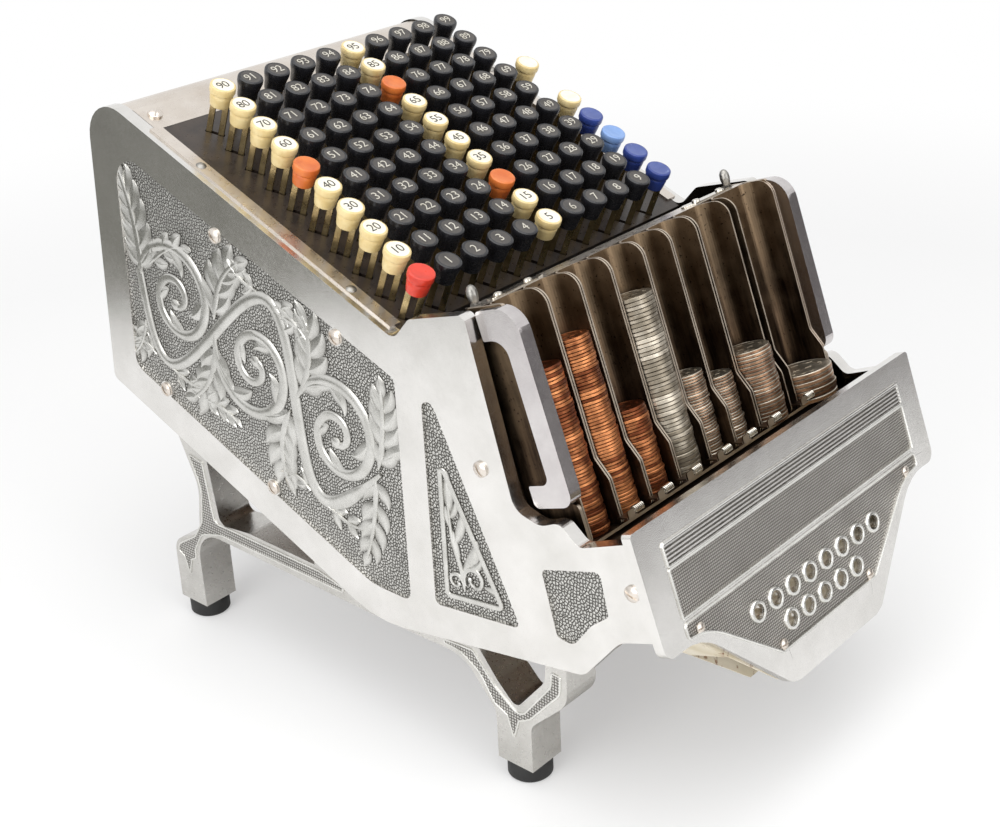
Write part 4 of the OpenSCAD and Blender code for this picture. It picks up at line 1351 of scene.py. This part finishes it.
@dataclass
class KeyField:
    """The sloping field of keys: caps, stems and figures, one set to each row."""

    rows: int = 10
    columns: int = 10
    pitch: float = 17.5
    row_pitch: float = 17.1
    stagger: float = 1.8
    cap_h: float = 11.4
    cap_sides: int = 28
    stem_turn: float = -57.0
    stem_gap: float = 6.2
    stem_w: float = 3.0
    stem_t: float = 1.4
    stem_end: float = -51.8
    figure_h: float = 5.2
    five_column: int = 5
    orange_fives: tuple[int, ...] = (3, 8)
    spool: tuple[Point, ...] = (
        (0.0, -0.3), (4.4, -0.22), (5.3, -0.02), (5.8, -0.06), (6.25, -0.4), (6.4, -1.0), (6.4, -3.2),
        (6.2, -3.8), (5.5, -4.3), (5.35, -4.7), (5.5, -5.1), (5.7, -5.7), (5.6, -6.6), (5.25, -9.6),
        (5.0, -11.0), (4.6, -11.4), (0.0, -11.4))
    taper: tuple[Point, ...] = (
        (0.0, -0.45), (3.6, -0.35), (4.9, -0.08), (5.6, -0.04), (6.2, -0.4), (6.4, -1.1), (6.35, -2.8),
        (6.05, -4.0), (5.75, -5.2), (5.35, -7.5), (5.15, -10.0), (5.0, -11.1), (4.7, -11.4), (0.0, -11.4))
    caps: tuple[Finish, ...] = (BLACK_CAP, IVORY_SHADED_SIDE, ORANGE_CAP, RED_CAP, BLUE_CAP, PALE_BLUE_CAP, BLACK_SHEEN_TOP,
                                IVORY_LIT_TOP, BLUE_LIT_TOP)
    first: dict[int, CapKind] = field(default_factory=lambda: {1: CapKind.RED, 6: CapKind.ORANGE})
    extra: dict[int, CapKind] = field(default_factory=lambda: {
        1: CapKind.BLUE, 2: CapKind.BLUE, 3: CapKind.PALE_BLUE, 4: CapKind.BLUE, 5: CapKind.IVORY,
        7: CapKind.IVORY})

    def kind(self, column: int, row: int) -> CapKind:
        """Return the colour of a key's cap.

        Args:
            column: Column from the left, from 0.
            row: Row from the front, from 1.

        Returns:
            The cap's kind.
        """
        if column == self.columns:
            return self.extra[row]
        if column == 0:
            return self.first.get(row, CapKind.IVORY)
        if column == self.five_column:
            return CapKind.ORANGE if row in self.orange_fives else CapKind.IVORY
        return CapKind.BLACK

    def label(self, column: int, row: int) -> str:
        """Return the amount on a key, or nothing on a blank one."""
        bare = column == self.columns or self.kind(column, row) in (CapKind.RED, CapKind.ORANGE)
        return "" if bare else str((row - 1) * self.columns + column)

    def place(self, column: int, row: int) -> Matrix:
        """Return where a key stands in the key frame."""
        up = row - self.rows / 2 - 0.5
        return Matrix.Translation(((column - self.columns / 2) * self.pitch + self.stagger * up,
                                   self.row_pitch * up, 0.0))

    def build(self, nodes: CadNodes) -> None:
        """Make the keys of every row and dress the plates below them.

        Args:
            nodes: The CAD nodes by name.
        """
        dress(nodes, ["key_plate"], JAPAN)
        dress(nodes, ["guide_plate"], STEEL)
        figures = FigureStamp(self.figure_h)
        for row in range(1, self.rows + 1):
            self._row(row, figures)

    def _row(self, row: int, figures: FigureStamp) -> None:
        """Make the caps, stems and figures of one row.

        Args:
            row: Row from the front, from 1.
            figures: The stamp for the amounts.
        """
        cap, stem, pale, dark = Shape(), Shape(), Shape(), Shape()
        leg = Vector((self.stem_w, self.stem_t, -self.cap_h / 2 - self.stem_end))
        turn = Matrix.Rotation(math.radians(self.stem_turn), 4, "Z")
        for column in range(self.columns + (1 if row in self.extra else 0)):
            at = self.place(column, row)
            kind = self.kind(column, row)
            profile = self.taper if kind is CapKind.BLACK else self.spool
            cap.lathe(profile, at, self.cap_sides, kind.steps(profile))
            for side in SIDES:
                shift = Matrix.Translation((side * self.stem_gap / 2, 0.0, -self.cap_h / 2 - leg.z / 2))
                stem.block(leg, at @ turn @ shift)
            text = self.label(column, row)
            if text:
                figures.stamp(pale if kind is CapKind.BLACK else dark, text, at)
        body = f"key_row_{row}"
        frame = MACHINE.keys()
        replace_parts(cap.piece(f"key_caps_{row}", frame, self.caps, body, "key_cap"), body)
        stem.piece(f"key_stems_{row}", frame, [STEM], body, "cover_nickel")
        for name, shape, finish in (("pale", pale, PALE_FIGURE), ("dark", dark, DARK_FIGURE)):
            if shape.mesh.faces:
                shape.piece(f"key_figures_{name}_{row}", frame, [finish], body, "key_cap")


# Tray and coins


@dataclass(frozen=True)
class CoinKind:
    """One kind of coin in a channel."""

    diameter: float
    thickness: float
    count: int
    node: str
    copper: bool = False
    clad: bool = False


PENNY = (19.05, 1.52)
DIME = (17.91, 1.35)


@dataclass
class CoinTray:
    """The tray sheet work and every coin in it."""

    tray_half: float = 98.5
    tray_top: float = 110.0
    play: float = 0.6
    sheet_t: float = 0.9
    gaps: tuple[float, ...] = (0.55, 0.55, 0.55, 0.55, 0.55, 1.0, 5.0, 0.0)
    back: float = 14.8
    back_room: float = 0.4
    lift: float = 0.3
    seed: int = 7
    mood_mix: Point = (0.7, 0.3)
    side_slip: Point = (-0.26, 0.26)
    front_slip: Point = (-0.6, 0.1)
    tone_span: Point = (0.1, 0.8)
    tone_play: Point = (-0.25, 0.25)
    clip_z: Point = (2.8, 6.4)
    clip_t: float = 0.7
    clip_at: Triple = (0.5, -6.2, 0.0)
    tab_y: float = -5.8
    coil_at: Triple = (2.2, -11.6, 5.2)
    stud_at: Triple = (2.2, -9.6, 3.4)
    stud_sides: int = 16
    coil_long: float = 6.4
    coil_r: float = 1.5
    coil_turns: int = 6
    turn_steps: int = 14
    wire: float = 0.32
    wire_sides: int = 5
    spring_gap: float = 0.05
    spring_t: float = 0.7
    screw_x: Point = (64.0, 84.0)
    screw_y: float = 20.2
    screw_sides: int = 18
    coin_sides: int = 36
    coin_dish: float = 0.14
    star_points: int = 5
    star_turn: float = 0.3
    star_reach: Point = (0.34, 0.15)
    star_z: Point = (-0.05, 0.14)
    wreath_arc: Point = (-60.0, 300.0)
    leaf_tilts: Point = (2.2, 0.9)
    leaf_z: Point = (-0.05, 0.12)
    wreath_leaves: int = 18
    wreath_r: float = 0.66
    leaf_reach: float = 0.13
    leaf_broad: float = 0.42
    metals: tuple[Finish, ...] = (COPPER, SILVER, CORE, GROOVE_SHADE)
    kinds: tuple[CoinKind, ...] = (
        CoinKind(*PENNY, 51, "penny_stacks", copper=True), CoinKind(*PENNY, 55, "penny_stacks", copper=True),
        CoinKind(*PENNY, 28, "penny_stacks", copper=True), CoinKind(21.21, 1.95, 45, "nickel_stack"),
        CoinKind(*DIME, 31, "dime_stacks", clad=True), CoinKind(*DIME, 25, "dime_stacks", clad=True),
        CoinKind(24.26, 1.75, 22, "quarter_stack", clad=True),
        CoinKind(30.61, 2.15, 7, "half_stack", clad=True))

    def centres(self) -> list[float]:
        """Return the middle of each channel across the tray.

        Returns:
            The middles, from the left.
        """
        out, x = [], -self.tray_half
        for kind, gap in zip(self.kinds, self.gaps):
            room = kind.diameter + self.play + 2 * self.sheet_t
            out.append(x + room / 2)
            x += room + gap
        return out

    def walls(self) -> list[float]:
        """Return the middle of each partition across the tray.

        Returns:
            The middles, from the left.
        """
        centres = self.centres()
        half = [k.diameter / 2 + self.play / 2 + self.sheet_t for k in self.kinds]
        return [(a + p + b - q) / 2 for a, b, p, q in zip(centres, centres[1:], half, half[1:])]

    def build(self, nodes: CadNodes) -> None:
        """Dress the tray and stack the coins.

        Args:
            nodes: The CAD nodes by name.
        """
        sheets = ["end_plate_left", "end_plate_right", "tray_back", "tray_floor", "coin_channels"]
        dress(nodes, sheets, TRAY_SHEET)
        dress(nodes, ["top_bar"], NICKEL, 0.4)
        dress(nodes, ["latch_left", "latch_right"], STEEL, 0.4)
        dress(nodes, ["grip_left", "grip_right"], GRIP, 2.4)
        self._coins()
        self._mouth()
        self._top_springs()

    def _mouth(self) -> None:
        """Set a bent clip and a short coil spring at the foot of each partition."""
        clips, coils = Shape(), Shape()
        low, high = self.clip_z
        foot = [(-3.4, 0.6), (-3.4, -5.4), (-2.6, -6.4), (2.6, -6.4), (3.4, -5.4), (3.4, 0.6)]
        tab = rounded([(-3.4, low, 0), (-3.4, high, 1.2), (1.2, high, 1.2), (1.2, low, 0)])
        stud = [(0.0, 1.9), (0.9, 1.8), (1.3, 1.3), (1.4, 0.0), (0.0, 0.0)]
        upright = Matrix.Rotation(math.radians(90), 4, "X")
        for x in self.walls():
            wall = Vector((x, 0.0, 0.0))
            lay = Matrix.Translation(wall + Vector(self.clip_at))
            clips.slab([foot], low, low + self.clip_t, lay)
            clips.slab([tab], 0.0, self.clip_t, lay @ Matrix.Translation((0.0, self.tab_y, 0.0)) @ upright)
            self._coil(coils, wall + Vector(self.coil_at))
            coils.lathe(stud, Matrix.Translation(wall + Vector(self.stud_at)), self.stud_sides)
        frame = MACHINE.tray()
        clips.piece("partition_clips", frame, [TRAY_SHEET], "tray", "tray_nickel")
        coils.piece("partition_springs", frame, [BRIGHT], "tray", "cover_nickel")

    def _coil(self, shape: Shape, start: Vector) -> None:
        """Add a coil spring along X.

        Args:
            shape: The shape that takes the wire.
            start: First end of its axis.
        """
        steps = self.turn_steps * self.coil_turns
        ring = circle(0.0, 0.0, self.wire, self.wire_sides)
        rings: list[list[Triple]] = []
        for i in range(steps + 1):
            a = 2 * math.pi * self.coil_turns * i / steps
            out = Vector((0.0, math.cos(a), math.sin(a)))
            middle = start + Vector((self.coil_long * i / steps, 0.0, 0.0)) + out * self.coil_r
            rings.append([tuple(middle + out * u + Vector((v, 0.0, 0.0))) for u, v in ring])
        shape.loft(rings)

    def _top_springs(self) -> None:
        """Lay a leaf spring with two screws behind each latch, along the bar on top."""
        shape = Shape()
        low, seat = (self.tray_top + rise for rise in (self.spring_gap, self.spring_t))
        head = [(0.0, 1.5), (1.2, 1.4), (2.0, 0.9), (2.2, 0.3), (2.2, 0.0), (0.0, 0.0)]
        leaf = [(89.5, 17.2, 1.5), (89.5, 22.6, 1.5), (58, 24.5, 2.2), (54, 22.4, 1.2), (54, 19.6, 1.2),
                (60, 17.2, 1.5)]
        for sign in SIDES:
            shape.slab([rounded([(sign * x, y, r) for x, y, r in leaf])], low, low + self.spring_t)
            for x in self.screw_x:
                shape.lathe(head, Matrix.Translation((sign * x, self.screw_y, seat)), self.screw_sides)
        shape.piece("latch_springs", MACHINE.tray(), [BRIGHT], "tray", "cover_nickel", 30.0)

    def _coins(self) -> None:
        """Stack the coins of every channel, with the lowest one on its ejector."""
        chance = random.Random(self.seed)
        frame = MACHINE.tray()
        stacks: dict[str, Shape] = {}
        slots: dict[str, str] = {}
        for i, (kind, x) in enumerate(zip(self.kinds, self.centres()), 1):
            y = self.back - self.back_room - kind.diameter / 2
            slots[kind.node] = "coin_copper" if kind.copper else "coin_silver"
            low = Shape()
            self._coin(low, kind, Matrix.Translation((x, y, 0.0)), chance.random(), False)
            low.piece(f"low_coin_{i}", frame, self.metals, f"ejector_{i}", slots[kind.node])
            stack = stacks.setdefault(kind.node, Shape())
            mood = 0.5
            for k in range(kind.count - 1):
                mood = self.mood_mix[0] * mood + self.mood_mix[1] * chance.random()
                shift = Vector((chance.uniform(*self.side_slip), chance.uniform(*self.front_slip), 0.0))
                up = kind.thickness + self.lift + k * kind.thickness
                tone = self.tone_span[0] + self.tone_span[1] * mood + chance.uniform(*self.tone_play)
                at = Matrix.Translation((x + shift.x, y + shift.y, up))
                self._coin(stack, kind, at, tone, k == kind.count - 2)
        for node, shape in stacks.items():
            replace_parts(shape.piece(f"loose_{node}", frame, self.metals, "tray", slots[node]), node)

    def _coin(self, shape: Shape, kind: CoinKind, at: Matrix, tone: float, faced: bool) -> None:
        """Add one coin with a raised rim, and a clad edge where its kind has one.

        Args:
            shape: The shape that takes the coin.
            kind: The kind of coin.
            at: Where the middle of its underside lies.
            tone: How bright it is.
            faced: Whether its upper face shows.
        """
        r, t = kind.diameter / 2, kind.thickness
        dish = t - self.coin_dish
        face = 0 if kind.copper else 1
        core = 2 if kind.clad else face
        profile = [(0.0, dish), (r - 1.2, dish), (r - 1.0, t), (r - 0.3, t), (r, t - 0.26), (r, t - 0.42),
                   (r, 0.38), (r, 0.32), (r - 0.45, 0.0), (0.0, 0.0)]
        # Finish 3 paints shade on the lower bevel, in the groove between coins
        shape.lathe(profile, at, self.coin_sides, [face, face, face, face, face, core, face, 3, face], tone)
        if faced:
            self._wreath(shape, at @ Matrix.Translation((0.0, 0.0, dish)), r, face, tone)

    def _wreath(self, shape: Shape, at: Matrix, radius: float, face: int, tone: float) -> None:
        """Raise a plain wreath and a star on the top coin.

        Args:
            shape: The shape that takes the coin.
            at: Where the middle of its face lies.
            radius: The coin's radius.
            face: Index of the face's finish.
            tone: How bright it is.
        """
        star = []
        for k in range(2 * self.star_points):
            reach = radius * self.star_reach[k % 2]
            turn = math.pi * k / self.star_points + self.star_turn
            star.append((reach * math.cos(turn), reach * math.sin(turn)))
        shape.slab([star], *self.star_z, at, face, tone)
        start, sweep = self.wreath_arc
        for k in range(self.wreath_leaves):
            a = math.radians(start + k * sweep / (self.wreath_leaves - 1))
            tilt = a + self.leaf_tilts[k % 2]
            mid = Vector((math.cos(a), math.sin(a))) * self.wreath_r * radius
            along = Vector((math.cos(tilt), math.sin(tilt))) * radius * self.leaf_reach
            across = Vector((-along.y, along.x)) * self.leaf_broad
            leaf = [tuple(p) for p in (mid + along, mid + across, mid - along, mid - across)]
            shape.slab([leaf], *self.leaf_z, at, face, tone)


# Works, trim and studio


@dataclass
class Works:
    """Plated trim, feet and the inner works."""

    channels: int = 8

    def build(self, nodes: CadNodes) -> None:
        """Dress the remaining CAD nodes.

        Args:
            nodes: The CAD nodes by name.
        """
        dress(nodes, ["rear_cover", "rear_strip", "rail_left", "rail_right"], NICKEL)
        dress(nodes, ["screws"], NICKEL, 0.25)
        dress(nodes, ["rubber_feet"], RUBBER, 0.5)
        dress(nodes, ["base_pan", "slide_bed"], BROWN_SHEET)
        moving = [f"{name}_{i}" for name in ("ejector", "lever") for i in range(1, self.channels + 1)]
        dress(nodes, ["tie_rods", "lever_shaft", "rail_rivets", *moving], STEEL)


@dataclass(frozen=True)
class Board(Finish):
    """Matt painted card with a little cloud in its colour."""

    colour: str
    cloud: str = "#77756F"
    cloud_mm: float = 160.0
    rough: float = 0.7

    def wire(self, tree: NodeTree, where: NodeSocket) -> Node:
        """Cloud the card's colour.

        Args:
            tree: The material's node tree.
            where: The object's coordinates.

        Returns:
            The shader.
        """
        cloud = add_node(tree, NOISE, {"Vector": where, "Scale": per_metre(self.cloud_mm), "Detail": 3.0})
        tint = add_node(tree, MIX, {"Factor": cloud, "A": linear(self.colour), "B": linear(self.cloud)},
                        data_type="RGBA")
        return add_node(tree, PRINCIPLED, {"Base Color": tint, "Roughness": self.rough})


@dataclass(frozen=True)
class Paper(Finish):
    """Pale matt paper that turns to plain white away from the object."""

    colour: str
    rough: float = 0.6
    fade_span: Point = (0.35, 1.1)
    near_share: float = 0.36

    def wire(self, tree: NodeTree, where: NodeSocket) -> Node:
        """Mix plain white into the paper, more of it far from the object.

        Args:
            tree: The material's node tree.
            where: The object's coordinates.

        Returns:
            The shader.
        """
        far = add_node(tree, VECTOR, {0: where}, operation="LENGTH")
        start, end = self.fade_span
        fade = add_node(tree, RANGE, {"Value": far, "From Min": start, "From Max": end},
                        interpolation_type="SMOOTHSTEP")
        rays = add_node(tree, "ShaderNodeLightPath").outputs
        seen = add_node(tree, MATH, {0: rays["Is Camera Ray"], 1: rays["Is Glossy Ray"]}, operation="MAXIMUM")
        there = add_node(tree, MATH, {0: fade, 1: seen}, operation="MULTIPLY")
        here = add_node(tree, MATH, {0: rays["Is Camera Ray"], 1: self.near_share}, operation="MULTIPLY")
        share = add_node(tree, MATH, {0: there, 1: here}, operation="MAXIMUM")
        paper = add_node(tree, PRINCIPLED, {"Base Color": linear(self.colour), "Roughness": self.rough})
        white = add_node(tree, "ShaderNodeEmission", {"Color": linear("#FFFFFF"), "Strength": 1.0})
        return add_node(tree, "ShaderNodeMixShader", {0: share, 1: paper, 2: white})


@dataclass(frozen=True)
class Lamp:
    """One soft box."""

    name: str
    place: Triple
    size: Point
    watts: float


@dataclass(frozen=True)
class Card:
    """A flat card of the set, out of the picture, that the metal mirrors."""

    name: str
    corners: tuple[Triple, ...]
    colour: str


@dataclass
class Studio:
    """Camera, pale floor, world, soft boxes and cards, in metres."""

    eye: Triple = (-0.5787, -0.51414, 0.5054)
    right: Triple = (0.6576, -0.7521, -0.0437)
    down: Triple = (-0.3564, -0.2595, -0.8975)
    focal_px: float = 1663.2
    frame_px: float = 1000.0
    sensor_mm: float = 36.0
    clip_start: float = 0.02
    reach: float = 4.0
    aim: Triple = (0.0, 0.0, 0.15)
    shed_light: float = 0.55
    paper: Paper = Paper("pale_studio_paper", "#F4F4F4")
    lamps: tuple[Lamp, ...] = (
        Lamp("soft_box_top", (-0.2, -0.2, 1.6), (1.6, 1.6), 15.0),
        Lamp("soft_box_left", (-1.5, -0.2, 0.8), (1.2, 1.2), 13.0),
        Lamp("soft_box_front", (0.2, -1.6, 0.7), (1.2, 0.9), 7.0))
    cards: tuple[Card, ...] = (
        Card("grey_bench",
             ((-0.75, 0.1, 0.002), (-0.17, 0.78, 0.002), (-0.17, 2.0, 0.002), (-1.6, 2.0, 0.002)), "#62645C"),
        Card("dim_wall", ((0.5, -2.6, 0.0), (2.6, -0.5, 0.0), (2.6, -0.5, 1.0), (0.5, -2.6, 1.0)), "#6C666E"))

    def build(self) -> None:
        """Set the scene round the object."""
        scene = bpy.context.scene
        scene.view_settings.view_transform = "Standard"
        self._camera(scene)
        floor = [(*p, 0.0) for p in oblong(self.reach, -self.reach, self.reach)]
        self._flat("studio_floor", floor, self.paper)
        self._world(scene)
        for lamp in self.lamps:
            self._lamp(lamp)
        for card in self.cards:
            obj = self._flat(card.name, card.corners, Board(f"{card.name}_board", card.colour))
            obj.visible_camera = False
            obj.visible_diffuse = False
            obj.visible_shadow = False

    def _flat(self, name: str, corners: Sequence[Triple], finish: Finish) -> Object:
        """Lay or stand one flat piece of the set.

        Args:
            name: Its name.
            corners: Its four corners.
            finish: Its finish.

        Returns:
            The new object.
        """
        mesh = bpy.data.meshes.new(name)
        mesh.from_pydata(corners, [], [(0, 1, 2, 3)])
        mesh.materials.append(material(finish))
        obj = bpy.data.objects.new(name, mesh)
        bpy.context.scene.collection.objects.link(obj)
        return obj

    def _camera(self, scene: Scene) -> None:
        """Set the camera that was solved from the photograph.

        Args:
            scene: The scene that looks through it.
        """
        data = bpy.data.cameras.new("photo_camera")
        data.sensor_width = self.sensor_mm
        data.lens = self.focal_px * self.sensor_mm / self.frame_px
        data.clip_start = self.clip_start
        camera = bpy.data.objects.new("photo_camera", data)
        up = -Vector(self.down).normalized()
        right = Vector(self.right)
        side = (right - up * right.dot(up)).normalized()
        turn = Matrix((side, up, side.cross(up))).transposed().to_4x4()
        camera.matrix_world = Matrix.Translation(self.eye) @ turn
        scene.collection.objects.link(camera)
        scene.camera = camera

    def _world(self, scene: Scene) -> None:
        """Set an even white world, dimmer for the light that it sheds.

        Args:
            scene: The scene that it surrounds.
        """
        world = bpy.data.worlds.new("studio_world")
        world.use_nodes = True
        tree = world.node_tree
        tree.nodes.clear()
        rays = add_node(tree, "ShaderNodeLightPath").outputs
        seen = add_node(tree, MATH, {0: rays["Is Camera Ray"], 1: rays["Is Glossy Ray"]}, operation="MAXIMUM")
        strength = add_node(tree, RANGE, {"Value": seen, "To Min": self.shed_light})
        light = add_node(tree, "ShaderNodeBackground", {"Color": linear("#FFFFFF"), "Strength": strength})
        add_node(tree, "ShaderNodeOutputWorld", {"Surface": light})
        scene.world = world

    def _lamp(self, lamp: Lamp) -> None:
        """Hang one soft box and aim it at the object.

        Args:
            lamp: The soft box.
        """
        data = bpy.data.lights.new(lamp.name, "AREA")
        data.shape = "RECTANGLE"
        data.size, data.size_y = lamp.size
        data.energy = lamp.watts
        obj = bpy.data.objects.new(lamp.name, data)
        obj.location = lamp.place
        aim = Vector(self.aim) - obj.location
        obj.rotation_euler = aim.to_track_quat("-Z", "Y").to_euler()
        bpy.context.scene.collection.objects.link(obj)


def main() -> None:
    """Build every sub-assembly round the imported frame."""
    logging.basicConfig(level=logging.INFO, format="%(message)s")
    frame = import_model()
    nodes = frame["nodes"]
    Studio().build()
    for sign in SIDES:
        SideCasting(sign).build(nodes)
    for part in (FrontPlate(), KeyField(), CoinTray(), Works()):
        part.build(nodes)
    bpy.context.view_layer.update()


if __name__ == "__main__":
    main()
